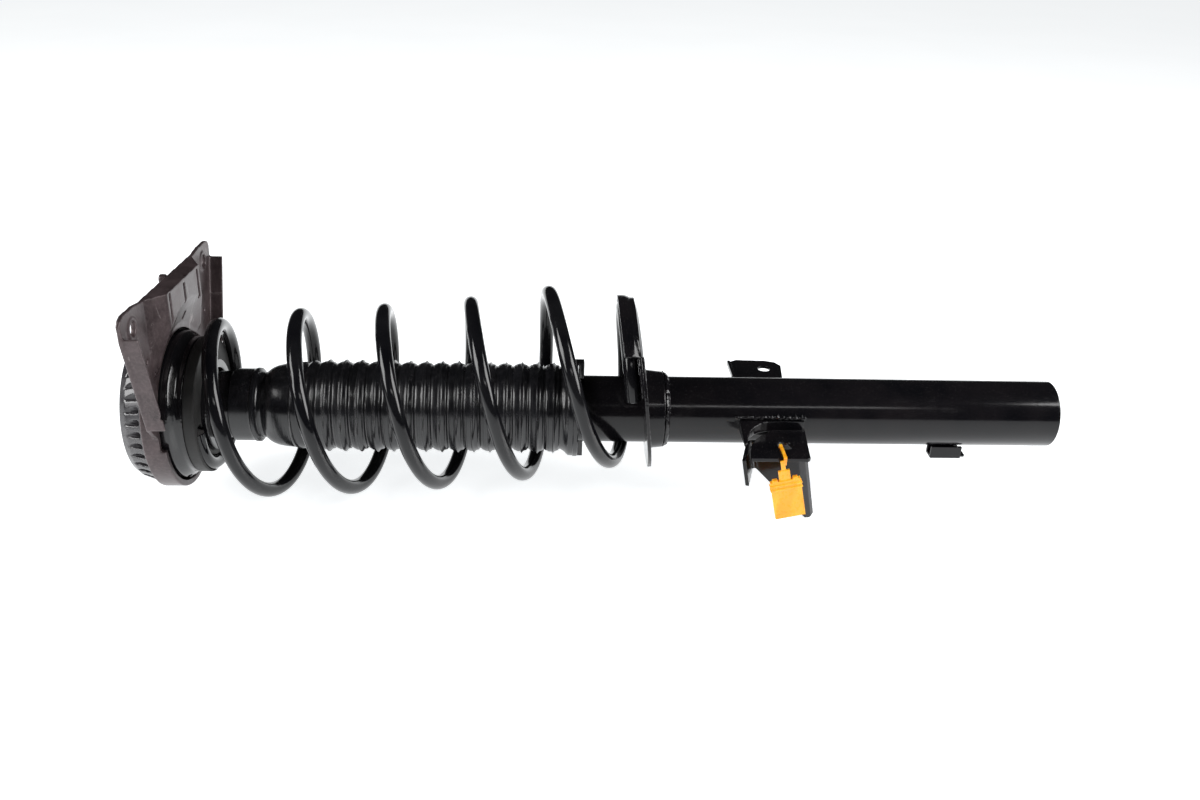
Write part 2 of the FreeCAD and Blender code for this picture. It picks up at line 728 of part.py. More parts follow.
def boot_outer():
    """Outside of the boot, from its lower end up, as (radius, height) pairs."""
    low = numbers["boot_low"]
    high = numbers["boot_high"]
    crest = numbers["boot_crest"]
    root = numbers["boot_root"]
    folds = int(numbers["boot_folds"])
    fold_low = low + 14.0
    fold_high = high - 68.0
    pitch = (fold_high - fold_low) / folds
    outline = [(40.0, low), (39.6, low + 7.5), (36.6, low + 10.5), (root, fold_low)]
    for k in range(folds):
        base = fold_low + k * pitch
        outline.append((crest, base + 0.42 * pitch))
        outline.append((crest - 1.4, base + 0.60 * pitch))
        outline.append((root, base + pitch))
    top = fold_high
    outline += [(36.4, top + 5.0), (34.2, top + 9.5), (35.6, top + 14.0), (34.4, top + 22.0),
                (31.5, top + 31.0), (numbers["boot_neck"], top + 41.0)]
    outline += [(numbers["boot_neck"], top + 46.0), (numbers["boot_cap"] - 0.8, top + 50.0),
                (numbers["boot_cap"], top + 53.0), (numbers["boot_cap"], high)]
    return outline


def make_boot():
    wall = numbers["boot_wall"]
    outer = boot_outer()
    high = numbers["boot_high"]
    inner = [(27.6, high), (27.6, high - 15.0), (numbers["boot_neck"] - 2.2, high - 19.0),
             (numbers["boot_neck"] - 2.2, high - 26.0)]
    for radius, height in outer[::-1]:
        if numbers["boot_low"] + 10.0 < height < high - 28.0:
            inner.append((radius - wall, height))
    inner.append((30.2, numbers["boot_low"] + 9.0))
    inner.append((30.2, numbers["boot_low"]))
    turned("dust_boot", outer + inner)


def make_boot_clip():
    """Ring with two hooked tabs that holds the boot's lower end on the strike cap."""
    low = numbers["boot_low"]
    maker = ring("boot_clip", size("tube_outer") / 2, 29.8, low, low + 9.0)
    for side in (-1, 1):
        for near, far, base, tall in ((28.2, 29.6, -5.0, 8.0), (29.0, 43.0, -5.0, 4.6),
                                      (40.5, 43.0, -5.0, 11.0)):
            near, far = sorted((side * near, side * far))
            maker.pad("XY_Plane", low + base, tall, [
                ("polygon", [(near, -4.0), (far, -4.0), (far, 4.0), (near, 4.0)])])


# ---------------------------------------------------------------- upper spring seat

def make_upper_seat():
    """Black pan that takes the spring, with a hub and a side wall."""
    rim = size("useat_rim")
    wall = size("useat_wall")
    hub = size("useat_hub")
    bore = size("useat_bore")
    low = size("useat_low")
    rim_at = size("useat_rim_at")
    high = size("useat_high")
    maker = turned("upper_spring_seat", [
        (bore, low), (hub, low), (hub, rim_at), (rim, rim_at), (rim, rim_at + 4.0),
        (rim + 0.5, rim_at + 5.0), (wall, rim_at + 10.0), (wall, high), (41.0, high),
        (41.0, high - 3.0), (wall - 3.0, high - 3.0), (wall - 3.0, rim_at + 11.0),
        (rim - 3.0, rim_at + 5.5), (hub - 4.0, rim_at + 3.5),
        (hub - 4.0, low + 3.5), (bore, low + 3.5)])
    for up, across in ((-48.0, -30.0), (-52.5, -20.5), (-55.5, -10.0)):
        maker.pocket("XY_Plane", size("useat_high") - 11.0, 6.5, [
            ("polygon", [(up, across - 3.4), (up, across + 3.4), (up - 20.0, across + 3.4),
                         (up - 20.0, across - 3.4)])])


def make_spring_pad():
    """Rubber pad with a nest for the spring's first turn."""
    top = numbers["useat_rim_at"]
    low = top - 9.0
    pad = Part.makeCylinder(numbers["useat_rim"], top - low, Vector(0, 0, low))
    pad = pad.cut(Part.makeCylinder(numbers["useat_hub"], 40.0, Vector(0, 0, low - 10.0)))
    nest = swept_coil(0.0, 0.95, numbers["wire_dia"] / 2 + 0.4)
    start = coil_point(0.0)
    end_ball = Part.makeSphere(numbers["wire_dia"] / 2 + 1.0, start)
    nest.Placement = spring_frame()
    end_ball.Placement = spring_frame()
    coded("spring_pad", pad.cut(nest).cut(end_ball))


def make_bearing():
    """Thrust bearing: two grooved races, a cage and balls."""
    radius = numbers["ball_circle"]
    ball = numbers["ball_dia"] / 2
    at = numbers["ball_at"]
    groove = Part.makeTorus(radius, ball + 0.05, Vector(0, 0, at))
    low_race = Part.makeCylinder(radius + 5.0, 3.2, Vector(0, 0, at - 5.0))
    low_race = low_race.cut(Part.makeCylinder(radius - 5.0, 3.2, Vector(0, 0, at - 5.0)))
    coded("bearing_lower_race", low_race.cut(groove))
    up_race = Part.makeCylinder(radius + 5.0, 3.2, Vector(0, 0, at + 1.8))
    up_race = up_race.cut(Part.makeCylinder(radius - 5.0, 3.2, Vector(0, 0, at + 1.8)))
    coded("bearing_upper_race", up_race.cut(groove))
    cage = Part.makeCylinder(radius + 3.6, 1.6, Vector(0, 0, at - 0.8))
    cage = cage.cut(Part.makeCylinder(radius - 3.6, 1.6, Vector(0, 0, at - 0.8)))
    balls = []
    pockets = []
    count = int(numbers["ball_count"])
    for k in range(count):
        angle = 2.0 * math.pi * k / count
        spot = Vector(radius * math.cos(angle), radius * math.sin(angle), at)
        balls.append(Part.makeSphere(ball, spot))
        pockets.append(Part.makeCylinder(ball + 0.15, 4.0, spot - Vector(0, 0, 2.0)))
    for pocket in pockets:
        cage = cage.cut(pocket)
    coded("bearing_cage", cage)
    coded("bearing_balls", Part.makeCompound(balls))


# ---------------------------------------------------------------- top mount

def clocked():
    """Upright frame of the top mount, turned a little about the strut axis."""
    turn = Placement(Vector(0, 0, 0), Rotation(Vector(0, 0, 1), numbers["plate_clock"]))
    return UPRIGHT.multiply(turn)


def prism(points, low, high):
    """A closed outline of (x, y) points between two heights."""
    loop = [Vector(x, y, low) for x, y in points]
    return Part.Face(Part.makePolygon(loop + [loop[0]])).extrude(Vector(0, 0, high - low))


def tapered(low_points, high_points, low, high):
    """A solid between two outlines with the same number of corners."""
    base = Part.makePolygon([Vector(x, y, low) for x, y in low_points + low_points[:1]])
    face = Part.makePolygon([Vector(x, y, high) for x, y in high_points + high_points[:1]])
    return Part.makeLoft([base, face], True, True)


def mount_plate_shape():
    """Pressed plate: tapered sheet, round opening, skirt, side flanges, raised box and ears."""
    at = numbers["plate_at"]
    sheet_thick = numbers["plate_sheet"]
    top = numbers["plate_top"]
    half = numbers["plate_half"]
    foot = numbers["plate_foot"]
    foot_half = numbers["plate_foot_half"]
    skirt = numbers["skirt_outer"]
    bore = numbers["cup_bore"]
    deep = numbers["flange_deep"]
    edge = [(top - 3.0, -half + 0.5), (top + 0.5, -half + 3.0), (top + 2.5, -half + 9.0),
            (top + 2.5, -half + 30.0), (top + 0.5, -half + 45.0), (top + 0.5, half - 45.0),
            (top + 2.5, half - 30.0), (top + 2.5, half - 9.0), (top + 0.5, half - 3.0),
            (top - 3.0, half - 0.5), (top - 16.0, half - 1.5), (foot, foot_half),
            (foot - 14.0, skirt - 1.0), (0.0, skirt - 1.0), (0.0, -skirt + 1.0),
            (foot - 14.0, -skirt + 1.0), (foot, -foot_half), (top - 16.0, -half + 1.5)]
    shape = prism(edge, at, at + sheet_thick)
    disc = Part.makeCylinder(skirt, sheet_thick, Vector(0, 0, at))
    wall = Part.makeCylinder(skirt, 13.0, Vector(0, 0, at))
    shape = shape.multiFuse([disc, wall])
    low_half = Part.makeBox(skirt + 5.0, 2 * skirt + 10, 4.0,
                            Vector(-skirt - 17.0, -skirt - 5.0, at - 4.0))
    lip = Part.makeCylinder(skirt, 4.0, Vector(0, 0, at - 4.0)).common(low_half)
    shape = shape.fuse(lip)
    for side in (-1, 1):
        strip = [(top - 13.0, side * (half - 1.4)), (foot, side * foot_half),
                 (foot, side * (foot_half - 2.6)), (top - 13.0, side * (half - 4.0))]
        shape = shape.fuse(prism(strip, at - deep, at + sheet_thick))
    base_half = numbers["box_base_half"]
    face_half = numbers["box_face_half"]
    box_deep = numbers["box_deep"]
    outer_low = [(top - 0.5, -face_half), (top - 0.5, face_half), (68.0, face_half),
                 (68.0, -face_half)]
    outer_high = [(top + 0.5, -base_half), (top + 0.5, base_half), (44.0, base_half),
                  (44.0, -base_half)]
    box = tapered(outer_low, outer_high, at - box_deep, at + 0.5)
    shape = shape.fuse(box)
    inner_low = [(top - 3.5, -face_half + 3.0), (top - 3.5, face_half - 3.0),
                 (70.0, face_half - 3.0), (70.0, -face_half + 3.0)]
    inner_high = [(top - 2.5, -base_half + 4.0), (top - 2.5, base_half - 4.0),
                  (46.0, base_half - 4.0), (46.0, -base_half + 4.0)]
    hollow = tapered(inner_low, inner_high, at - box_deep + sheet_thick, at + 4.0)
    upper = Part.makeBox(100.0, 200.0, 40.0, Vector(22.0, -100.0, at - 20.0))
    scoop = Part.makeCone(88.5, skirt - 0.5, box_deep, Vector(0, 0, at - box_deep))
    behind = Part.makeCone(92.5, skirt + 3.5, box_deep, Vector(0, 0, at - box_deep + 2.5))
    shape = shape.cut(hollow.cut(behind).cut(Part.makeCylinder(skirt + 3.5, 9.0,
                                                               Vector(0, 0, at))))
    shape = shape.cut(scoop.common(upper))
    shape = shape.cut(Part.makeCylinder(bore, 30.0, Vector(0, 0, at - 8.0)))
    shape = shape.cut(Part.makeCylinder(skirt - 2.6, 20.0, Vector(0, 0, at + sheet_thick)))
    hole = numbers["ear_hole_dia"] / 2
    for side in (-1, 1):
        spot = Vector(numbers["ear_hole_up"], side * numbers["ear_hole_half"], at - 1.0)
        shape = shape.fuse(Part.makeCylinder(hole + 3.2, 1.5, spot))
        shape = shape.cut(Part.makeCylinder(hole, 20.0, spot - Vector(0, 0, 8.0)))
    for u, low_x, high_x, across in ((-34.0, 80.0, 105.0, 3.0), (0.0, 86.5, 103.0, 3.0),
                                     (34.0, 80.0, 104.0, 3.0), (-10.0, 71.0, 78.0, 2.4),
                                     (14.0, 68.0, 75.0, 2.4)):
        slot = Part.makeBox(high_x - low_x, across, 30.0,
                            Vector(low_x, u - across / 2, at - 20.0))
        shape = shape.cut(slot)
    for up, u in ((62.0, -67.0), (55.0, 75.0)):
        shape = shape.cut(Part.makeCylinder(1.8, 20.0, Vector(up, u, at - 10.0)))
    return shape.removeSplitter()


def make_mount_plate():
    coded("mount_plate", mount_plate_shape(), clocked())


def make_mount_dome():
    """Fluted dome on the body side that holds the rubber and the bearing."""
    radius = size("dome_radius")
    wall = size("dome_wall")
    low = size("plate_at") + "plate_sheet"
    high = size("dome_high")
    skirt_in = size("skirt_outer") - 2.7
    hole = size("dome_hole")
    maker = turned("mount_dome", [
        (skirt_in - wall, low + 8.0), (skirt_in, low + 8.0), (skirt_in, low + 10.5),
        (radius + 4.0, low + 11.0), (radius, high - 8.0), (radius - 4.0, high - 2.5),
        (radius - 14.0, high), (hole, high), (hole, high - wall), (radius - 15.0, high - wall),
        (radius - 6.0, high - 8.5)], clocked())
    flute = maker.pocket("XY_Plane", low + 11.5, 40.0, [
        ("polygon", [(radius - 1.6, -2.6), (radius + 9.0, -1.0), (radius + 9.0, 3.4),
                     (radius + 1.4, 2.6)])])
    maker.round_about(flute, "flute_count")


def make_mount_rubber():
    """Rubber ring between the inner sleeve and the dome."""
    low = numbers["ball_at"] + 5.0
    turned("mount_rubber", [(12.0, low), (52.6, low), (52.6, low + 5.0), (43.0, 748.9),
                            (24.0, 748.9), (20.0, 743.0), (12.0, 743.0)])


def make_sleeve():
    ring("inner_sleeve", size("stud_dia") / 2, 12.0, "rod_shoulder", 745.0)


def make_rod():
    """Piston rod with a reduced thread at each end."""
    rod = size("rod_dia") / 2
    stud = size("stud_dia") / 2
    low = size("rod_low")
    high = size("rod_high")
    piston = size("piston_high")
    shoulder = size("rod_shoulder")
    turned("piston_rod", [(0, low), (stud - 1.0, low), (stud, low + 1.0), (stud, piston),
                          (rod, piston), (rod, shoulder), (stud, shoulder), (stud, high - 1.2),
                          (stud - 1.2, high), (0, high)])


def make_piston():
    stud = size("stud_dia") / 2
    wide = size("piston_dia") / 2
    low = size("piston_low")
    high = size("piston_high")
    band = size("ring_dia") / 2 - 1.2
    maker = turned("piston", [(stud, low), (wide, low), (wide, low + 6.0), (band, low + 6.0),
                              (band, low + 16.0), (wide, low + 16.0), (wide, high), (stud, high)])
    port = maker.pocket("XY_Plane", low - 1.0, 40.0, [("circle", 11.0, 0, 1.4)])
    maker.round_about(port, 8)


def make_piston_band():
    low = size("piston_low")
    ring("piston_band", size("ring_dia") / 2 - 1.2, size("ring_dia") / 2, low + 6.0, low + 16.0)


def hex_points(flats):
    """Corners of a hexagon of that width across flats."""
    reach = flats / math.sqrt(3.0)
    return [(reach * math.cos(math.radians(60 * k)), reach * math.sin(math.radians(60 * k)))
            for k in range(6)]


def hex_nut(label, flats, low, high):
    maker = Maker(label)
    stud = size("stud_dia") / 2
    maker.pad("XY_Plane", low, size(high) - low, [
        ("polygon", hex_points(flats)), ("circle", 0, 0, stud)])


def make_rod_fittings():
    """Nuts, washers, rebound stop and bump stop, all carried by the rod."""
    hex_nut("piston_nut", 21.0, 338.0, size("piston_low"))
    stud = size("stud_dia") / 2
    ring("top_washer", stud, 19.0, 745.0, 748.0)
    hex_nut("top_nut", 22.0, 748.0, 757.0)
    rod = size("rod_dia") / 2
    turned("rebound_stop", [(rod, "piston_high"), (15.4, "piston_high"), (15.4, 388.0),
                            (14.0, 393.5), (rod, 393.5)])
    low = size("bump_low")
    high = size("bump_high")
    wide = size("bump_radius")
    turned("bump_stop", [
        (rod, low), (15.0, low), (19.5, low + 6.0), (19.5, low + 11.0), (17.0, low + 15.0),
        (21.5, low + 21.0), (21.5, low + 27.0), (18.5, low + 31.0), (wide, low + 37.0),
        (wide, low + 44.0), (20.0, low + 49.0), (wide, low + 54.0), (wide + 1.4, low + 60.0),
        (wide + 1.4, high), (rod, high)])
    cup = size("cup_radius")
    turned("bump_cup", [(wide + 1.4, 664.0), (cup, 664.0), (cup, high + 2.0), (rod, high + 2.0),
                        (rod, high), (wide + 1.4, high)])


def make_locating_pin():
    """Short pin on the body side of the plate, near its top edge."""
    at = size("plate_at") + "plate_sheet"
    maker = Maker("locating_pin", clocked())
    maker.pad("XY_Plane", at, 5.0, [("circle", 104.8, 2.0, 4.0)])
    tip = edges_at_height(maker.body.Tip, at.number + 5.0, 4.0)
    maker.soften(tip, 1.5)


# ---------------------------------------------------------------- seal tag

def tag_frame():
    """Upright frame of the tag, which hangs from its origin down local -x."""
    lean = Rotation(Vector(0, 1, 0), numbers["tag_lean"])
    return Placement(Vector(-4.5, -79.5, 240.5), lean)


def tag_shape():
    """Flat plastic lock: body, raised rim, ribs, lugs and neck, hanging along local -x."""
    wide = numbers["tag_width"]
    tall = numbers["tag_height"]
    thick = numbers["tag_thick"]
    body = Part.makeBox(tall, thick, wide, Vector(-16.5 - tall, -thick / 2, -wide / 2))
    shapes = []
    for k in range(2):
        shapes.append(Part.makeBox(1.6, thick + 1.4, wide + 1.6,
                                   Vector(-21.0 - 3.6 * k, -thick / 2 - 0.7, -wide / 2 - 0.8)))
    for side in (-1, 1):
        shapes.append(Part.makeBox(2.0, thick, 4.0, Vector(-17.0, -thick / 2, 8.0 * side - 2.0)))
    neck = Part.makeBox(9.0, 2.4, 9.0, Vector(-17.0, -1.2, -4.5))
    eye = Part.makeBox(9.0, 1.4, 3.4, Vector(-8.5, -0.7, -1.7))
    return body.multiFuse(shapes + [neck, eye]).removeSplitter()


def strap_shape():
    """Flat strap that goes through the link hole and round the plate's front edge."""
    thick = 1.5
    wide = 2.6
    lip_top = numbers["link_plate_top"] + 0.4
    lip_low = numbers["link_plate_top"] - numbers["link_plate_sheet"] - 0.4
    near = -numbers["link_front"] - 0.6
    hole = -numbers["link_hole_out"] - 2.2
    inner = [(lip_top, hole), (lip_top, near), (lip_low, near), (lip_low, hole)]
    outer = [(lip_top + thick, hole + thick), (lip_top + thick, near - thick),
             (lip_low - thick, near - thick), (lip_low - thick, hole + thick)]
    station = 237.6 - wide / 2
    loop_in = [Vector(x, y, station) for x, y in inner]
    loop_out = [Vector(x, y, station) for x, y in outer]
    ring_face = Part.Face(Part.makePolygon(loop_out + [loop_out[0]]))
    hole_face = Part.Face(Part.makePolygon(loop_in + [loop_in[0]]))
    return ring_face.cut(hole_face).extrude(Vector(0, 0, wide))


def make_tag():
    coded("tag_strap", strap_shape())
    coded("tag_body", tag_shape(), UPRIGHT.multiply(tag_frame()))


# ---------------------------------------------------------------- build and export

make_tube()
make_base_cap()
make_pressure_tube()
make_base_valve()
make_rod_guide()
make_guide_bush()
make_rod_seal()
make_strike_cap()
make_lower_seat()
make_seat_weld()
make_link_bracket()
make_link_weld()
make_hose_bracket()
make_hose_weld()
make_locating_tab()
make_spring()
make_boot()
make_boot_clip()
make_upper_seat()
make_spring_pad()
make_bearing()
make_mount_plate()
make_mount_dome()
make_mount_rubber()
make_sleeve()
make_rod()
make_piston()
make_piston_band()
make_rod_fittings()
make_locating_pin()
make_tag()

doc.recompute()
os.makedirs("parts", exist_ok=True)
for item in doc.Objects:
    for word in ("Invalid", "Error"):
        if word in item.State:
            raise RuntimeError("%s is %s" % (item.Label, word))
for item in made:
    shape = item.Shape
    if shape.isNull() or not shape.isValid() or not shape.Solids:
        raise RuntimeError("bad shape: " + item.Label)
    box = shape.optimalBoundingBox(True, False)
    print("%-20s solids %2d  x %7.1f %7.1f  y %7.1f %7.1f  z %7.1f %7.1f  vol %9.0f" % (
        item.Label, len(shape.Solids), box.XMin, box.XMax, box.YMin, box.YMax, box.ZMin,
        box.ZMax, shape.Volume))
    shape.exportStep("parts/%s.step" % item.Label)
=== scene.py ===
import math

import bmesh
import bpy
from mathutils import Matrix, Vector, noise


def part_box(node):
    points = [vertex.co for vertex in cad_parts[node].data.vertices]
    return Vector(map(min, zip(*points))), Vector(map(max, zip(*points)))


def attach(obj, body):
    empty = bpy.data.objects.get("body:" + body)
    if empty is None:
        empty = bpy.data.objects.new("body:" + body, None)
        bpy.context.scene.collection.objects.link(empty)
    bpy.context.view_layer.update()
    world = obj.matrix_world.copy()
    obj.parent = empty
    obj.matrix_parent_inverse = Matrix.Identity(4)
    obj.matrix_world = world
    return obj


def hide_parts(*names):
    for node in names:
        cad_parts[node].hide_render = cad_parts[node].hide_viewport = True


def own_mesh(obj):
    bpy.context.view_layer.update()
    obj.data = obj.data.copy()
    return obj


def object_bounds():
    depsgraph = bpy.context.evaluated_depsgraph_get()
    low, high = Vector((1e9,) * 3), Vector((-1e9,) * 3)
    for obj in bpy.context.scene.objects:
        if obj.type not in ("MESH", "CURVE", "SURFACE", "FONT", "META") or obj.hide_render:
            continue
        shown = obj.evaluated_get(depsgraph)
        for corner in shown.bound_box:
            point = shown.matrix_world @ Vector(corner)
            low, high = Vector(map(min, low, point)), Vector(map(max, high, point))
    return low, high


# Looks of the strut assembly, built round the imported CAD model.
# Lengths of the pieces are millimetres in the row frame, and MM turns them into Blender's metres.
# Lamps, camera and floor are in metres. A station is a distance up the strut: minus the row's X.

MM = 0.001
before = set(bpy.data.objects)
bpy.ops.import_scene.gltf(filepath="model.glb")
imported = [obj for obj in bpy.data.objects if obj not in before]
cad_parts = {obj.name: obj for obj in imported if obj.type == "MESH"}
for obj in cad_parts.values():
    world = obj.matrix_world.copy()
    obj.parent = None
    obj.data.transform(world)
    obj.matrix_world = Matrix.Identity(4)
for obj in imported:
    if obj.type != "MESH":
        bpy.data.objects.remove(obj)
cad_low, cad_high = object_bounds()


# ---------------------------------------------------------------- materials

class Look:
    """A node material that is built up from named pieces of procedural detail."""

    def __init__(self, name, **sockets):
        self.material = bpy.data.materials.new(name)
        self.material.use_nodes = True
        self.tree = self.material.node_tree
        self.shader = self.tree.nodes["Principled BSDF"]
        for key, value in sockets.items():
            self.shader.inputs[key.replace("_", " ")].default_value = value
        self.place = self.tree.nodes.new("ShaderNodeTexCoord").outputs["Object"]
        self.normal = None

    def node(self, kind, inputs=None, **settings):
        """A new node with its settings, and its inputs linked or set."""
        made = self.tree.nodes.new(kind)
        for key, value in settings.items():
            setattr(made, key, value)
        for key, value in (inputs or {}).items():
            if isinstance(value, bpy.types.NodeSocket):
                self.tree.links.new(value, made.inputs[key])
            else:
                made.inputs[key].default_value = value
        return made

    def stretched(self, across):
        """Texture place scaled along each axis; a factor under 1 draws the grain out."""
        return self.node("ShaderNodeMapping", {"Vector": self.place, "Scale": across}).outputs[0]

    def grain(self, scale, detail=4.0, rough=0.55, place=None, warp=0.0):
        """Noise with cells of about that many per metre."""
        return self.node("ShaderNodeTexNoise", {
            "Vector": place or self.place, "Scale": scale, "Detail": detail,
            "Roughness": rough, "Distortion": warp}).outputs["Fac"]

    def cells(self, scale):
        """Distance to the nearest of about that many random points per metre."""
        return self.node("ShaderNodeTexVoronoi",
                         {"Vector": self.place, "Scale": scale}).outputs["Distance"]

    def between(self, value, low, high, to_low=0.0, to_high=1.0):
        """Maps a range of a value onto another range, clamped."""
        return self.node("ShaderNodeMapRange", {
            "Value": value, "From Min": low, "From Max": high, "To Min": to_low,
            "To Max": to_high}).outputs["Result"]

    def join(self, how, a, b):
        """Two values through one math operation."""
        return self.node("ShaderNodeMath", {0: a, 1: b}, operation=how).outputs[0]

    def mix(self, share, a, b):
        """Colour between a and b."""
        mixed = self.node("ShaderNodeMix", data_type="RGBA")
        self.put(mixed.inputs["Factor"], share)
        self.put(mixed.inputs[6], a)
        self.put(mixed.inputs[7], b)
        return mixed.outputs[2]

    def put(self, socket, value):
        """Links an output to a socket, or sets the socket to a number or colour."""
        if isinstance(value, bpy.types.NodeSocket):
            self.tree.links.new(value, socket)
        else:
            socket.default_value = (*value, 1.0) if isinstance(value, tuple) else value

    def colour(self, value):
        """Sets the base colour."""
        self.put(self.shader.inputs["Base Color"], value)

    def roughness(self, value):
        """Sets the roughness."""
        self.put(self.shader.inputs["Roughness"], value)

    def bump(self, height, deep_mm, strength=1.0):
        """Raises the surface by a height of 0 to 1 times deep_mm, over any bump before it."""
        made = self.node("ShaderNodeBump", {"Height": height, "Distance": deep_mm * MM,
                                            "Strength": strength})
        if self.normal:
            self.tree.links.new(self.normal, made.inputs["Normal"])
        self.normal = made.outputs["Normal"]
        self.tree.links.new(self.normal, self.shader.inputs["Normal"])

    def upward(self):
        """1 on faces that look up, 0 on faces that look down."""
        geometry = self.node("ShaderNodeNewGeometry")
        split = self.node("ShaderNodeSeparateXYZ", {0: geometry.outputs["Normal"]})
        return self.between(split.outputs["Z"], -0.2, 1.0)

    def worn_edge(self, low, high):
        """1 on convex edges, from the mesh's own curvature."""
        geometry = self.node("ShaderNodeNewGeometry")
        return self.between(geometry.outputs["Pointiness"], low, high)


def black_paint():
    """Dipped gloss black: orange peel, fine dust, a few chips and rub marks."""
    look = Look("black_paint", Roughness=0.15, Specular_IOR_Level=0.3)
    patches = look.grain(34.0, 5.0)
    pale_patches = look.between(look.grain(1500.0, 2.0), 0.66, 0.74)
    settled = look.join("MULTIPLY", pale_patches, look.upward())
    base = look.mix(look.between(patches, 0.35, 0.7), (0.003, 0.003, 0.004), (0.007, 0.006, 0.007))
    speck = look.join("MULTIPLY", settled, 0.35)
    look.colour(look.mix(speck, base, (0.16, 0.15, 0.15)))
    rub = look.between(look.grain(60.0, 8.0, 0.7, look.stretched((0.25, 1.0, 1.0)), 0.4),
                       0.56, 0.70)
    smear = look.join("MULTIPLY", rub, 0.16)
    look.roughness(look.join("ADD", look.between(patches, 0.3, 0.8, 0.10, 0.17), smear))
    look.bump(look.grain(260.0, 2.0), 0.035)
    look.bump(look.between(look.cells(900.0), 0.0, 0.10), 0.010)
    return look.material


def spring_coat():
    """Powder coat on the spring: glossy, softly rippled, with dull rub marks."""
    look = Look("spring_coat", Roughness=0.13, Specular_IOR_Level=0.34)
    patches = look.grain(28.0, 4.0)
    look.colour(look.mix(look.between(patches, 0.35, 0.7), (0.003, 0.003, 0.004),
                         (0.008, 0.008, 0.009)))
    rub = look.between(look.grain(140.0, 6.0, 0.7, warp=0.8), 0.58, 0.72)
    look.roughness(look.join("ADD", look.between(patches, 0.3, 0.8, 0.09, 0.16),
                             look.join("MULTIPLY", rub, 0.14)))
    look.bump(look.grain(180.0, 2.0), 0.06)
    look.bump(look.grain(900.0, 2.0), 0.008)
    return look.material


def cut_steel():
    """Sheared end of the wire under thin paint."""
    look = Look("cut_steel", Metallic=0.6, Roughness=0.42)
    lines = look.grain(260.0, 6.0, 0.6, look.stretched((1.0, 6.0, 1.0)))
    look.colour(look.mix(look.between(lines, 0.35, 0.7), (0.10, 0.095, 0.10), (0.34, 0.32, 0.32)))
    look.roughness(look.between(lines, 0.3, 0.7, 0.3, 0.55))
    look.bump(lines, 0.12)
    return look.material


def mount_coat():
    """Worn grey-brown coat of the top mount, with smudges, scuffs and paler rubbed edges."""
    look = Look("mount_coat", Roughness=0.45, Metallic=0.35)
    blotch = look.grain(38.0, 7.0, 0.62, warp=0.6)
    fine = look.grain(420.0, 5.0, 0.6)
    base = look.mix(look.between(blotch, 0.3, 0.72), (0.026, 0.018, 0.019), (0.075, 0.054, 0.056))
    base = look.mix(look.between(fine, 0.45, 0.8, 0.0, 0.5), base, (0.115, 0.088, 0.090))
    scuff = look.between(look.grain(95.0, 9.0, 0.75, look.stretched((0.6, 1.0, 0.3)), 1.4),
                         0.60, 0.68)
    base = look.mix(look.join("MULTIPLY", scuff, 0.6), base, (0.30, 0.26, 0.26))
    edge = look.join("MULTIPLY", look.worn_edge(0.53, 0.62),
                     look.between(look.grain(240.0, 4.0), 0.38, 0.62))
    look.colour(look.mix(look.join("MULTIPLY", edge, 0.75), base, (0.36, 0.31, 0.31)))
    look.roughness(look.between(blotch, 0.3, 0.75, 0.26, 0.46))
    look.bump(look.grain(520.0, 4.0), 0.05)
    look.bump(look.between(look.cells(340.0), 0.0, 0.35), 0.03)
    return look.material


def dome_coat():
    """Darker gloss coat of the dome, greyed with handling marks along its ribs."""
    look = Look("dome_coat", Roughness=0.26, Specular_IOR_Level=0.55)
    blotch = look.grain(44.0, 6.0, 0.6, warp=0.5)
    base = look.mix(look.between(blotch, 0.32, 0.72), (0.012, 0.011, 0.013),
                    (0.040, 0.037, 0.041))
    scuff = look.between(look.grain(130.0, 8.0, 0.72, look.stretched((0.4, 1.0, 1.0)), 1.0),
                         0.58, 0.70)
    base = look.mix(look.join("MULTIPLY", scuff, 0.4), base, (0.16, 0.15, 0.16))
    edge = look.join("MULTIPLY", look.worn_edge(0.53, 0.62), look.grain(240.0, 4.0))
    look.colour(look.mix(look.join("MULTIPLY", edge, 0.7), base, (0.26, 0.24, 0.25)))
    look.roughness(look.between(blotch, 0.3, 0.75, 0.18, 0.36))
    look.bump(look.grain(480.0, 4.0), 0.04)
    return look.material


def boot_rubber():
    """Satin black rubber: fine skin, moulding lines round it, and a paler upper side that is
    partly dust and partly a painted highlight.
    """
    look = Look("boot_rubber", Roughness=0.3, Specular_IOR_Level=0.5)
    rings = look.grain(620.0, 3.0, 0.5, look.stretched((1.0, 0.05, 0.05)))
    patches = look.grain(55.0, 6.0, 0.6)
    base = look.mix(look.between(patches, 0.35, 0.7), (0.004, 0.004, 0.005), (0.010, 0.010, 0.012))
    # Paler upper side: partly settled dust, partly a painted highlight where light falls from
    # above.
    pale_patches = look.join("MULTIPLY", look.between(look.grain(240.0, 6.0, 0.7), 0.48, 0.75),
                     look.upward())
    look.colour(look.mix(look.join("MULTIPLY", pale_patches, 0.16), base, (0.13, 0.125, 0.13)))
    look.roughness(look.between(patches, 0.3, 0.75, 0.17, 0.31))
    look.bump(rings, 0.10)
    look.bump(look.grain(1300.0, 3.0), 0.020)
    return look.material


def plain_rubber():
    """Dull rubber with a fine skin."""
    look = Look("plain_rubber", Roughness=0.6, Specular_IOR_Level=0.35)
    patches = look.grain(80.0, 5.0)
    look.colour(look.mix(look.between(patches, 0.3, 0.75), (0.011, 0.011, 0.011),
                         (0.030, 0.029, 0.028)))
    look.roughness(look.between(patches, 0.3, 0.8, 0.5, 0.72))
    look.bump(look.grain(1100.0, 4.0), 0.04)
    return look.material


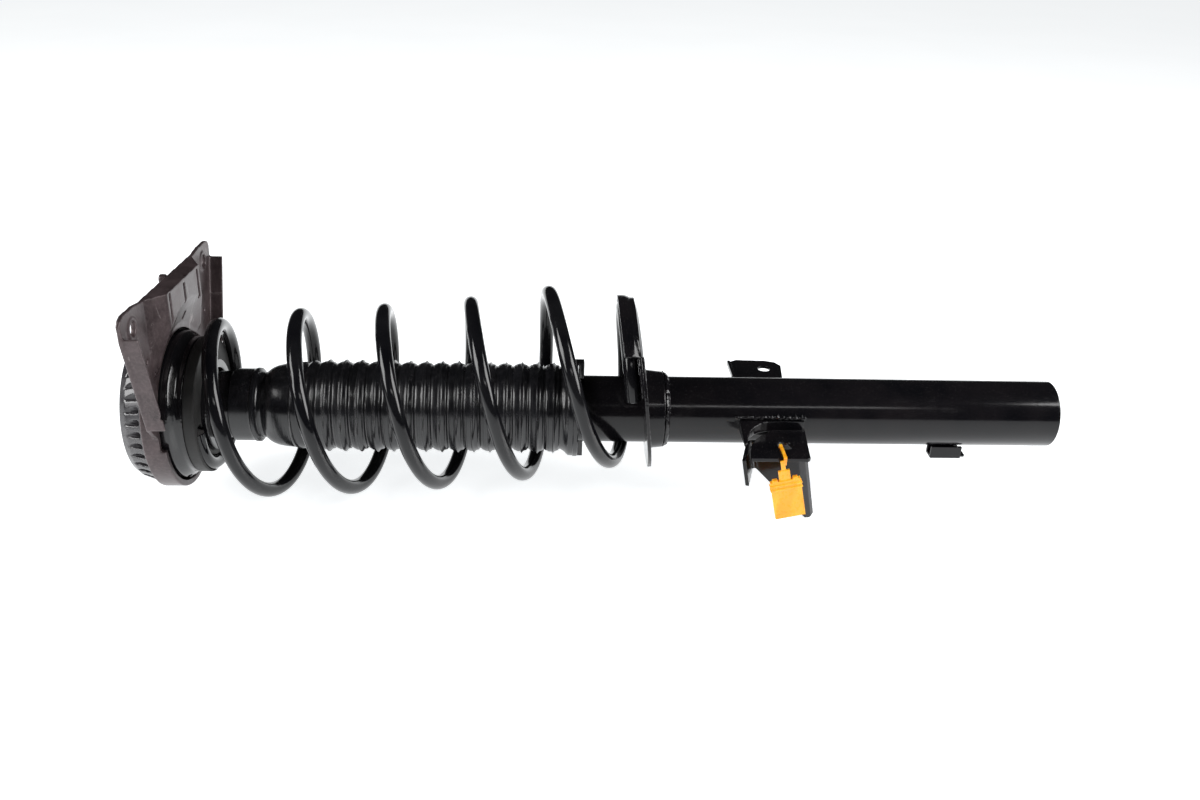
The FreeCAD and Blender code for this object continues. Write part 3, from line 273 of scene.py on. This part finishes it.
def seat_plastic():
    """Glass-filled black plastic of the upper seat, glossy where it was moulded."""
    look = Look("seat_plastic", Roughness=0.22)
    patches = look.grain(60.0, 5.0)
    look.colour(look.mix(look.between(patches, 0.35, 0.7), (0.004, 0.004, 0.005),
                         (0.010, 0.009, 0.010)))
    look.roughness(look.between(patches, 0.3, 0.8, 0.08, 0.2))
    look.bump(look.grain(300.0, 4.0), 0.04)
    return look.material


def bright_steel():
    """Turned steel: fine rings, oil bloom and light tarnish."""
    look = Look("bright_steel", Metallic=1.0, Roughness=0.3)
    rings = look.grain(900.0, 4.0, 0.6, look.stretched((1.0, 0.08, 0.08)))
    bloom = look.grain(70.0, 6.0)
    look.colour(look.mix(look.between(bloom, 0.35, 0.72), (0.36, 0.35, 0.34), (0.60, 0.59, 0.58)))
    look.roughness(look.between(rings, 0.3, 0.7, 0.22, 0.42))
    look.bump(rings, 0.02)
    return look.material


def zinc_plate():
    """Zinc-plated nut and washer: pale, slightly yellow and blotchy."""
    look = Look("zinc_plate", Metallic=1.0, Roughness=0.34)
    bloom = look.grain(120.0, 6.0, 0.6, warp=1.0)
    look.colour(look.mix(look.between(bloom, 0.35, 0.7), (0.50, 0.47, 0.40), (0.66, 0.66, 0.64)))
    look.roughness(look.between(bloom, 0.3, 0.75, 0.26, 0.46))
    look.bump(look.grain(900.0, 3.0), 0.03)
    return look.material


def rod_chrome():
    """Hard chrome with very fine grinding lines."""
    look = Look("rod_chrome", Metallic=1.0, Roughness=0.08)
    lines = look.grain(2600.0, 3.0, 0.5, look.stretched((1.0, 0.05, 0.05)))
    haze = look.grain(50.0, 4.0)
    look.colour(look.mix(look.between(haze, 0.3, 0.8), (0.62, 0.62, 0.63), (0.74, 0.74, 0.75)))
    look.roughness(look.between(lines, 0.3, 0.7, 0.05, 0.13))
    look.bump(lines, 0.003)
    return look.material


def bronze():
    """Sintered bronze of the rod's bush, with open pores."""
    look = Look("bronze", Metallic=1.0, Roughness=0.4)
    pores = look.cells(1400.0)
    look.colour(look.mix(look.between(look.grain(90.0), 0.3, 0.7), (0.40, 0.26, 0.12),
                         (0.55, 0.38, 0.20)))
    look.roughness(look.between(pores, 0.0, 0.5, 0.55, 0.35))
    look.bump(pores, 0.03)
    return look.material


def foam():
    """Microcellular stop: pale tan with open pores."""
    look = Look("foam", Roughness=0.8)
    pores = look.cells(700.0)
    look.colour(look.mix(look.between(look.grain(60.0, 5.0), 0.3, 0.7), (0.36, 0.31, 0.20),
                         (0.48, 0.43, 0.31)))
    look.roughness(look.between(pores, 0.0, 0.5, 0.9, 0.7))
    look.bump(pores, 0.12)
    return look.material


def slide_plastic():
    """Grey filled plastic of the piston band and the rebound stop."""
    look = Look("slide_plastic", Roughness=0.45)
    patches = look.grain(200.0, 5.0)
    look.colour(look.mix(look.between(patches, 0.35, 0.7), (0.08, 0.09, 0.10), (0.15, 0.16, 0.18)))
    look.roughness(look.between(patches, 0.3, 0.7, 0.36, 0.55))
    look.bump(look.grain(900.0, 3.0), 0.03)
    return look.material


def tag_plastic():
    """Translucent orange-yellow plastic of the seal tag, with moulding flow and scuffs."""
    look = Look("tag_plastic", Roughness=0.28, Subsurface_Weight=0.35, Subsurface_Scale=0.002,
                Specular_IOR_Level=0.45)
    flow = look.grain(85.0, 4.0, 0.5, look.stretched((1.0, 1.0, 0.35)), 0.8)
    look.colour(look.mix(look.between(flow, 0.35, 0.7), (0.90, 0.36, 0.010), (0.97, 0.50, 0.035)))
    look.roughness(look.between(look.grain(420.0, 5.0), 0.35, 0.7, 0.22, 0.42))
    look.bump(look.grain(700.0, 3.0), 0.03)
    return look.material


def floor_paper():
    """Pale studio table: satin white with the faintest mottling."""
    look = Look("floor_paper", Roughness=0.22, Emission_Color=(0.97, 0.99, 1.0, 1.0),
                Emission_Strength=0.86)
    mottle = look.grain(3.0, 5.0)
    look.colour(look.mix(look.between(mottle, 0.3, 0.7), (0.86, 0.88, 0.89), (0.90, 0.91, 0.92)))
    look.roughness(look.between(mottle, 0.3, 0.7, 0.18, 0.26))
    look.bump(look.grain(60.0, 3.0), 0.02)
    return look.material


BLACK = black_paint()
SPRING = spring_coat()
CUT = cut_steel()
MOUNT = mount_coat()
DOME = dome_coat()
BOOT = boot_rubber()
RUBBER = plain_rubber()
SEAT = seat_plastic()
STEEL = bright_steel()
ZINC = zinc_plate()
CHROME = rod_chrome()
BRONZE = bronze()
FOAM = foam()
SLIDE = slide_plastic()
TAG = tag_plastic()


# ---------------------------------------------------------------- mesh tools

RIPPLE_INSET = 0.6    # share of a bead's ripple that its skin is drawn in by
SKIN_CREASE = 80.0    # sharpest bend that stays smooth on a softened skin, degrees


def new_piece(name, mesh, body, material, nodes, crease=38.0):
    """Puts a finished mesh in the scene, smooth but for its real edges, in place of CAD nodes."""
    piece = bpy.data.objects.new(name, mesh)
    bpy.context.scene.collection.objects.link(piece)
    if not mesh.materials:
        mesh.materials.append(material)
    mesh.polygons.foreach_set("use_smooth", [True] * len(mesh.polygons))
    mesh.set_sharp_from_angle(angle=math.radians(crease))
    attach(piece, body)
    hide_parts(*nodes)
    return piece


def mesh_of(name, points, faces):
    """A mesh from points in millimetres, with its faces turned outward."""
    mesh = bpy.data.meshes.new(name)
    mesh.from_pydata([tuple(c * MM for c in p) for p in points], [], faces)
    build = bmesh.new()
    build.from_mesh(mesh)
    bmesh.ops.recalc_face_normals(build, faces=build.faces)
    build.to_mesh(mesh)
    build.free()
    return mesh


def lathe_mesh(name, outline, around=192, shape=None):
    """Turns a closed outline of (station, radius) about the strut axis.
    shape(station, radius, angle) may change a point's station and radius."""
    points = []
    for station, radius in outline:
        for k in range(around):
            angle = 2.0 * math.pi * k / around
            s, r = shape(station, radius, angle) if shape else (station, radius)
            points.append((-s, r * math.cos(angle), r * math.sin(angle)))
    faces = []
    rows = len(outline)
    for i in range(rows):
        j = (i + 1) % rows
        for k in range(around):
            m = (k + 1) % around
            faces.append((i * around + k, i * around + m, j * around + m, j * around + k))
    return mesh_of(name, points, faces)


def rounded(corners, bends, steps=5):
    """A closed outline of (station, radius) corners, each rounded by its own bend."""
    done = []
    count = len(corners)
    for k, bend in enumerate(bends):
        here = Vector(corners[k])
        before = Vector(corners[k - 1]) - here
        after = Vector(corners[(k + 1) % count]) - here
        reach = min(bend, 0.45 * before.length, 0.45 * after.length)
        if reach < 0.01:
            done.append(tuple(here))
            continue
        start = here + before.normalized() * reach
        stop = here + after.normalized() * reach
        for n in range(steps + 1):
            t = n / steps
            point = start * (1 - t) ** 2 + here * 2 * t * (1 - t) + stop * t * t
            done.append(tuple(point))
    return done


def softened_mesh(name, nodes, voxel, passes, ripple, ripple_size):
    """The CAD nodes melted into one skin whose edges are rounded as pressed or cast ones are.
    A weld bead's skin is also rippled, and drawn in so that the ripples stay within the bead."""
    build = bmesh.new()
    for node in nodes:
        build.from_mesh(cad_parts[node].data)
    mesh = bpy.data.meshes.new(name + "_raw")
    build.to_mesh(mesh)
    build.free()
    raw = bpy.data.objects.new(name + "_raw", mesh)
    bpy.context.scene.collection.objects.link(raw)
    skin = raw.modifiers.new("skin", "REMESH")
    skin.mode = "VOXEL"
    skin.voxel_size = voxel * MM
    relax = raw.modifiers.new("relax", "SMOOTH")
    relax.factor = 0.5
    relax.iterations = passes
    bpy.context.view_layer.update()
    graph = bpy.context.evaluated_depsgraph_get()
    done = bpy.data.meshes.new_from_object(raw.evaluated_get(graph))
    done.name = name
    done.materials.clear()
    bpy.data.objects.remove(raw)
    if ripple:
        for vertex in done.vertices:
            push = noise.noise(vertex.co / (ripple_size * MM)) * ripple * MM
            vertex.co += vertex.normal * (push - ripple * MM * RIPPLE_INSET)
    return done


def softened(name, nodes, body, material, voxel, passes, ripple=0.0, ripple_size=3.0):
    """Puts the softened skin of some CAD nodes in the scene in their place."""
    mesh = softened_mesh(name, nodes, voxel, passes, ripple, ripple_size)
    return new_piece(name, mesh, body, material, nodes, crease=SKIN_CREASE)


def station_range(node):
    """Lowest and highest station of a CAD node, in millimetres."""
    low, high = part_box(node)
    return -high.x / MM, -low.x / MM


def smooth(share):
    """A share from 0 to 1 that starts and stops gently."""
    share = min(max(share, 0.0), 1.0)
    return share * share * (3.0 - 2.0 * share)


# ---------------------------------------------------------------- tube

TUBE_WALL = 2.6


def make_tube():
    """Outer tube with rolled edges and a machined bore."""
    low, high = station_range("reserve_tube")
    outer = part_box("reserve_tube")[1].z / MM
    bore = outer - TUBE_WALL
    corners = [(low, bore), (low, outer), (high, outer), (high, bore)]
    outline = rounded(corners, [0.5, 1.3, 1.0, 0.5])
    mesh = lathe_mesh("tube", outline, 256)
    new_piece("tube", mesh, "strut_tube", BLACK, ["reserve_tube"])


# ---------------------------------------------------------------- spring

COIL_MID = 534.4                # station of the coil's middle
COIL_UP = 11.9                  # how far its middle is above the strut axis
COIL_LEAN = math.radians(6.5)
COIL_TURNS = 6.0
COIL_TOP = 163.2                # height of its upper end over its middle
COIL_FULL = 72.0                # radius of the full turns, to the middle of the wire
COIL_START = 43.8               # radius at the upper end
COIL_END = 50.5                 # radius at the lower end
WIRE = 6.0                      # radius of the wire

# Curves along the wire, as (turn, value, slope) knots from the upper end.
COIL_DROP = [(0.0, 0.3, -28.0), (0.25, -4.2, 4.0), (0.5, 4.0, 48.0), (0.75, 18.5, 60.0),
             (1.25, 49.5, 67.0), (1.75, 83.5, 68.0), (2.25, 117.0, 68.0), (4.0, 239.4, 69.0),
             (4.69, 282.5, 58.0), (4.97, 300.2, 75.0), (5.1, 313.5, 115.0), (5.28, 332.0, 82.0),
             (5.45, 341.0, 28.0), (5.6, 342.2, 2.0), (6.0, 342.6, 1.0)]
COIL_SWELL = [(0.0, -2.3, 0.0), (1.2, -1.6, 0.5), (2.2, -0.6, 0.5), (4.2, -0.2, 0.5),
              (5.0, 0.7, 0.0), (6.0, 0.4, 0.0)]
COIL_BOW = [(0.0, 3.0, 0.0), (0.7, 3.0, 0.0), (2.2, -0.9, -2.9), (3.3, -3.6, 0.0),
            (5.2, -0.4, 0.0), (6.0, 0.0, 0.0)]
COIL_SLANT = [(0.0, 0.0, 0.0), (0.35, 0.0, 0.0), (1.0, 3.0, 2.0), (2.0, 4.2, 0.0),
              (3.5, 3.6, -0.5), (4.5, 2.6, -3.0), (4.9, 0.0, 0.0), (6.0, 0.0, 0.0)]


def through(knots, where):
    """Value of a smooth curve through (place, value, slope) knots."""
    for k in range(len(knots) - 1):
        t0, v0, s0 = knots[k]
        t1, v1, s1 = knots[k + 1]
        if where <= t1 or k == len(knots) - 2:
            break
    span = t1 - t0
    u = (where - t0) / span
    value = (2 * u ** 3 - 3 * u ** 2 + 1) * v0 + (u ** 3 - 2 * u ** 2 + u) * span * s0
    return value + (-2 * u ** 3 + 3 * u ** 2) * v1 + (u ** 3 - u ** 2) * span * s1


def spring_to_row(x, y, z):
    """A point of the spring's leaning upright frame in the row frame."""
    up = x * math.cos(COIL_LEAN) - z * math.sin(COIL_LEAN) + COIL_UP
    station = x * math.sin(COIL_LEAN) + z * math.cos(COIL_LEAN) + COIL_MID
    return Vector((-station, y, up))


def coil_point(turn):
    """Centre line of the wire in the row frame; the coil is a little bowed and aslant."""
    full = through(COIL_SWELL, turn) + COIL_FULL
    narrow_start = 1.0 - smooth((turn - 0.12) / 0.75)
    narrow_end = 1.0 - smooth((COIL_TURNS - turn) / 1.1)
    radius = full - (full - COIL_START) * narrow_start
    radius -= (full - COIL_END) * narrow_end
    height = COIL_TOP - through(COIL_DROP, turn)
    angle = 2.0 * math.pi * turn
    return spring_to_row(through(COIL_BOW, turn) - radius * math.sin(angle),
                         -radius * math.cos(angle),
                         height + through(COIL_SLANT, turn) * math.cos(angle))


def swept_mesh(name, path, radius, sides, chamfer):
    """A round bar along a path of points. Its last two faces are its flat chamfered ends."""
    count = len(path)
    along = [(path[min(k + 1, count - 1)] - path[max(k - 1, 0)]).normalized()
             for k in range(count)]
    side = along[0].orthogonal().normalized()
    sections = []
    for k in range(count):
        side = (side - along[k] * side.dot(along[k])).normalized()
        sections.append((path[k], side.copy(), along[k].cross(side), radius))
    first, last = sections[0], sections[-1]
    inset = radius - chamfer
    sections[0] = (first[0] + along[0] * chamfer, first[1], first[2], radius)
    sections.insert(0, (first[0], first[1], first[2], inset))
    sections[-1] = (last[0] - along[-1] * chamfer, last[1], last[2], radius)
    sections.append((last[0], last[1], last[2], inset))
    points = []
    for centre, a, b, r in sections:
        for n in range(sides):
            angle = 2.0 * math.pi * n / sides
            points.append(centre + a * (r * math.cos(angle)) + b * (r * math.sin(angle)))
    faces = []
    for i in range(len(sections) - 1):
        for n in range(sides):
            m = (n + 1) % sides
            faces.append((i * sides + n, i * sides + m, (i + 1) * sides + m, (i + 1) * sides + n))
    end = (len(sections) - 1) * sides
    faces.append(tuple(range(sides)))
    faces.append(tuple(end + n for n in range(sides)))
    return mesh_of(name, points, faces)


def make_spring():
    """The coil, painted but for the sheared ends of its wire."""
    steps = 620
    path = [coil_point(COIL_TURNS * k / steps) for k in range(steps + 1)]
    mesh = swept_mesh("spring", path, WIRE, 32, 0.5)
    mesh.materials.append(SPRING)
    mesh.materials.append(CUT)
    for face in list(mesh.polygons)[-2:]:
        face.material_index = 1
    spring = new_piece("spring", mesh, "strut_tube", SPRING, ["coil_spring"])
    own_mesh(spring)


# ---------------------------------------------------------------- dust boot

BOOT_FOLDS = 15
FOLD_DEPTH = 3.8
BOOT_WALL = 1.5
CAP_BORE = 27.6                 # radius inside the cap at the upper end
NECK_BORE = 24.4                # radius inside the neck below it
COLLAR_BORE = 30.2              # radius inside the collar at the lower end
UNEVEN_SHIFT = 0.55             # how far a fold wanders along the boot
UNEVEN_DENT = 0.22              # how far its crest dips

# Collar, as (distance over the lower end, radius over the crest of a fold).
COLLAR = [(0.0, 1.3), (0.6, 1.9), (3.6, 1.9), (4.2, 1.3), (7.2, 1.2), (8.6, 0.3), (10.2, -1.6)]
# One fold, as (share of the pitch, share of the depth).
FOLD = [(0.00, 0.00), (0.05, 0.06), (0.12, 0.36), (0.20, 0.42), (0.28, 0.50), (0.35, 0.70),
        (0.395, 0.93), (0.42, 1.00), (0.445, 0.97), (0.47, 0.74), (0.52, 0.66), (0.60, 0.65),
        (0.68, 0.60), (0.73, 0.57), (0.75, 0.44), (0.79, 0.42), (0.85, 0.36), (0.91, 0.25),
        (0.96, 0.07)]
# Bulges, neck and cap, as (distance over the last fold, radius over the root of a fold).
UPPER_PART = [(0.0, 0.0), (0.8, 0.3), (2.2, 1.7), (4.0, 2.4), (5.6, 2.3), (7.4, 1.2), (8.6, 0.2),
              (9.6, 0.1), (10.6, 0.7), (12.4, 1.3), (16.0, 1.35), (19.0, 0.7), (19.6, 0.2),
              (23.0, 0.1), (28.0, -0.4), (33.0, -1.4), (37.0, -2.9), (40.0, -4.8), (42.0, -6.6),
              (43.4, -7.4), (46.2, -7.5), (47.0, -6.9), (47.4, -4.9), (48.2, -4.0), (50.6, -3.9),
              (51.4, -4.5), (53.0, -4.6)]


def boot_outline():
    """Outside of the boot from its lower end up: collar, folds, two bulges, neck and cap."""
    low, high = station_range("dust_boot")
    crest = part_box("dust_boot")[1].z / MM - 2.0
    root = crest - FOLD_DEPTH
    first = low + 14.0
    last = high - 68.0
    pitch = (last - first) / BOOT_FOLDS
    outline = [(low + s, crest + r) for s, r in COLLAR]
    outline.append((low + 13.2, root + 0.1))
    for k in range(BOOT_FOLDS):
        for share, rise in FOLD:
            outline.append((first + (k + share) * pitch, root + (crest - root) * rise))
    outline += [(last + s, root + r) for s, r in UPPER_PART]
    outline += [(high - 0.8, root - 4.6), (high, root - 5.3)]
    return outline


def make_boot():
    """Bellows with slightly uneven folds."""
    outer = boot_outline()
    low = outer[0][0]
    high = outer[-1][0]
    inner = [(high, CAP_BORE), (high - 15.0, CAP_BORE), (high - 19.0, NECK_BORE),
             (high - 26.0, NECK_BORE)]
    inner += [(s, r - BOOT_WALL) for s, r in outer[::-1] if low + 10.0 < s < high - 28.0]
    inner += [(low + 9.0, COLLAR_BORE), (low, COLLAR_BORE)]

    def uneven(station, radius, angle):
        spot = Vector((station * 0.02, 0.9 * math.cos(angle), 0.9 * math.sin(angle)))
        share = smooth((station - low) / 20.0) * smooth((high - 60.0 - station) / 20.0)
        shift = UNEVEN_SHIFT * share * noise.noise(spot)
        crest_spot = spot * 3.1 + Vector((station * 0.05, 0, 0))
        dent = UNEVEN_DENT * share * (noise.noise(crest_spot) - 0.7)
        return station + shift, radius + min(dent, 0.0)

    mesh = lathe_mesh("boot", outer + inner, 160, uneven)
    boot = new_piece("boot", mesh, "strut_tube", BOOT, ["dust_boot"], crease=34.0)
    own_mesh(boot)


# ---------------------------------------------------------------- piston rod

STUD = 6.98                     # radius of the rod's turned-down ends
LOWER_STUD = 40.0
UPPER_STUD = 32.0
THREAD_LENGTH = 12.0
THREAD_PITCH = 1.5
NEARLY_SHUT = 0.01              # radius of the tiny hole at the middle of a turned end


def make_rod():
    """Chromed rod with a cut thread on its upper end."""
    low, high = station_range("piston_rod")
    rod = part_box("piston_rod")[1].z / MM
    thread = high - 13.0
    outline = [(low, NEARLY_SHUT), (low, STUD - 1.0), (low + 1.0, STUD), (low + LOWER_STUD, STUD),
               (low + LOWER_STUD, rod - 0.4), (low + LOWER_STUD + 0.4, rod),
               (high - UPPER_STUD - 0.4, rod), (high - UPPER_STUD, rod - 0.4),
               (high - UPPER_STUD, STUD)]
    rows = 52
    outline += [(thread + THREAD_LENGTH * k / rows, STUD) for k in range(rows + 1)]
    outline += [(high - 0.2, STUD - 1.0), (high, STUD - 1.4), (high, NEARLY_SHUT)]

    def cut(station, radius, angle):
        if not thread < station < high - 0.5:
            return station, radius
        turn = (station / THREAD_PITCH - angle / (2.0 * math.pi)) % 1.0
        depth = 0.8 * (1.0 - abs(2.0 * turn - 1.0))
        return station, radius - min(depth, 0.7)

    mesh = lathe_mesh("rod", outline, 96, cut)
    new_piece("rod", mesh, "mount", CHROME, ["piston_rod"])


# ---------------------------------------------------------------- everything else

make_tube()
make_spring()
make_boot()
make_rod()
softened("lower_seat", ["lower_spring_seat"], "strut_tube", BLACK, 0.7, 6)
softened("link_bracket", ["link_plate", "link_web", "link_skirt"], "strut_tube", BLACK,
         0.5, 6)
softened("link_bead", ["link_weld"], "strut_tube", BLACK, 0.35, 4, 0.5, 2.0)
softened("hose_plate", ["hose_bracket"], "strut_tube", BLACK, 0.4, 5)
softened("hose_bead", ["hose_weld"], "strut_tube", BLACK, 0.35, 4, 0.4, 2.0)
softened("seat_bead", ["seat_weld"], "strut_tube", BLACK, 0.5, 3, 0.7, 3.5)
softened("clamp_tab", ["locating_tab"], "strut_tube", BLACK, 0.4, 4)
softened("top_plate", ["mount_plate"], "mount", MOUNT, 0.8, 5)
softened("dome", ["mount_dome"], "mount", DOME, 0.7, 4)
softened("top_pin", ["locating_pin"], "mount", MOUNT, 0.35, 3)
softened("upper_seat", ["upper_spring_seat"], "spring_seat", SEAT, 0.7, 4)
softened("pad", ["spring_pad"], "spring_seat", RUBBER, 0.6, 4)
softened("tag", ["tag_body"], "seal_tag", TAG, 0.3, 3)
softened("strap", ["tag_strap"], "strut_tube", TAG, 0.25, 4)
softened("clip_ring", ["boot_clip"], "strut_tube", SEAT, 0.45, 3)

CARRIED = {
    "base_cap": BLACK, "pressure_tube": STEEL, "base_valve": STEEL, "rod_guide": STEEL,
    "guide_bush": BRONZE, "rod_seal": RUBBER, "strike_cap": STEEL, "bearing_lower_race": STEEL,
    "bearing_upper_race": STEEL, "bearing_cage": SEAT, "bearing_balls": CHROME,
    "mount_rubber": RUBBER, "inner_sleeve": STEEL, "piston": STEEL,
    "piston_band": SLIDE, "piston_nut": ZINC, "top_washer": ZINC, "top_nut": ZINC,
    "rebound_stop": SLIDE, "bump_stop": FOAM, "bump_cup": SEAT}
for node, material in CARRIED.items():
    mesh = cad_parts[node].data
    mesh.materials.clear()
    mesh.materials.append(material)


# ---------------------------------------------------------------- studio

FLOOR_HALF = 9.0                # half the table's width, metres
FLOOR_GAP = 0.0008              # table to the strut's lowest point, metres
LAMPS = [                       # name, place, aim, width and height in metres, power in watts
    ("left_box", (-2.5, -0.7, 1.2), (-0.5, 0.0, 0.0), 1.5, 1.5, 70.0),
    ("right_box", (1.7, -0.5, 1.2), (-0.3, 0.0, 0.0), 1.5, 1.5, 70.0),
    ("front_strip", (0.35, -2.4, 1.9), (-0.2, 0.0, 0.0), 1.3, 0.22, 4.0)]
ROOM_COLOUR = (0.95, 0.97, 1.0, 1.0)
ROOM_STRENGTH = 0.02
CAMERA_PITCH = 26.0             # degrees down
CAMERA_YAW = -3.17              # degrees, to the right of straight across the strut
CAMERA_ROLL = 2.09
CAMERA_LENS = 32.79             # millimetres, on a 36 mm sensor
CAMERA_PLACE = (-0.4243, -0.8125, 0.4046)


def make_floor():
    """A wide pale table just under the strut."""
    level = cad_low.z - FLOOR_GAP
    half = FLOOR_HALF
    mesh = bpy.data.meshes.new("floor")
    mesh.from_pydata([(-half, -half, level), (half, -half, level), (half, half, level),
                      (-half, half, level)], [], [(0, 1, 2, 3)])
    mesh.materials.append(floor_paper())
    floor = bpy.data.objects.new("floor", mesh)
    bpy.context.scene.collection.objects.link(floor)


def make_lamp(name, place, target, wide, tall, watts):
    """A rectangular lamp that faces its target."""
    light = bpy.data.lights.new(name, "AREA")
    light.shape = "RECTANGLE"
    light.size = wide
    light.size_y = tall
    light.energy = watts
    lamp = bpy.data.objects.new(name, light)
    lamp.location = place
    lamp.rotation_mode = "QUATERNION"
    lamp.rotation_quaternion = (Vector(target) - Vector(place)).to_track_quat("-Z", "Y")
    bpy.context.scene.collection.objects.link(lamp)


def make_world():
    """A dim, even room, so that the gloss black stays dark above the bright table."""
    world = bpy.data.worlds.new("room")
    bpy.context.scene.world = world
    world.use_nodes = True
    tree = world.node_tree
    background = tree.nodes["Background"]
    background.inputs["Color"].default_value = ROOM_COLOUR
    background.inputs["Strength"].default_value = ROOM_STRENGTH


def make_camera():
    """Looks down on the strut from its near side, as the photograph does."""
    pitch = math.radians(CAMERA_PITCH)
    yaw = math.radians(CAMERA_YAW)
    roll = math.radians(CAMERA_ROLL)
    right = Vector((math.cos(yaw), math.sin(yaw), 0.0))
    level = Vector((-math.sin(yaw), math.cos(yaw), 0.0))
    forward = level * math.cos(pitch) - Vector((0, 0, 1)) * math.sin(pitch)
    up = Vector((0, 0, 1)) * math.cos(pitch) + level * math.sin(pitch)
    right, up = (right * math.cos(roll) + up * math.sin(roll),
                 up * math.cos(roll) - right * math.sin(roll))
    camera_data = bpy.data.cameras.new("camera")
    camera_data.lens = CAMERA_LENS
    camera_data.sensor_width = 36.0
    camera = bpy.data.objects.new("camera", camera_data)
    turn = Matrix((right, up, -forward)).transposed()
    camera.matrix_world = Matrix.Translation(Vector(CAMERA_PLACE)) @ turn.to_4x4()
    bpy.context.scene.collection.objects.link(camera)
    bpy.context.scene.camera = camera


make_floor()
make_world()
for lamp_settings in LAMPS:
    make_lamp(*lamp_settings)
make_camera()
bpy.context.scene.view_settings.view_transform = "Standard"
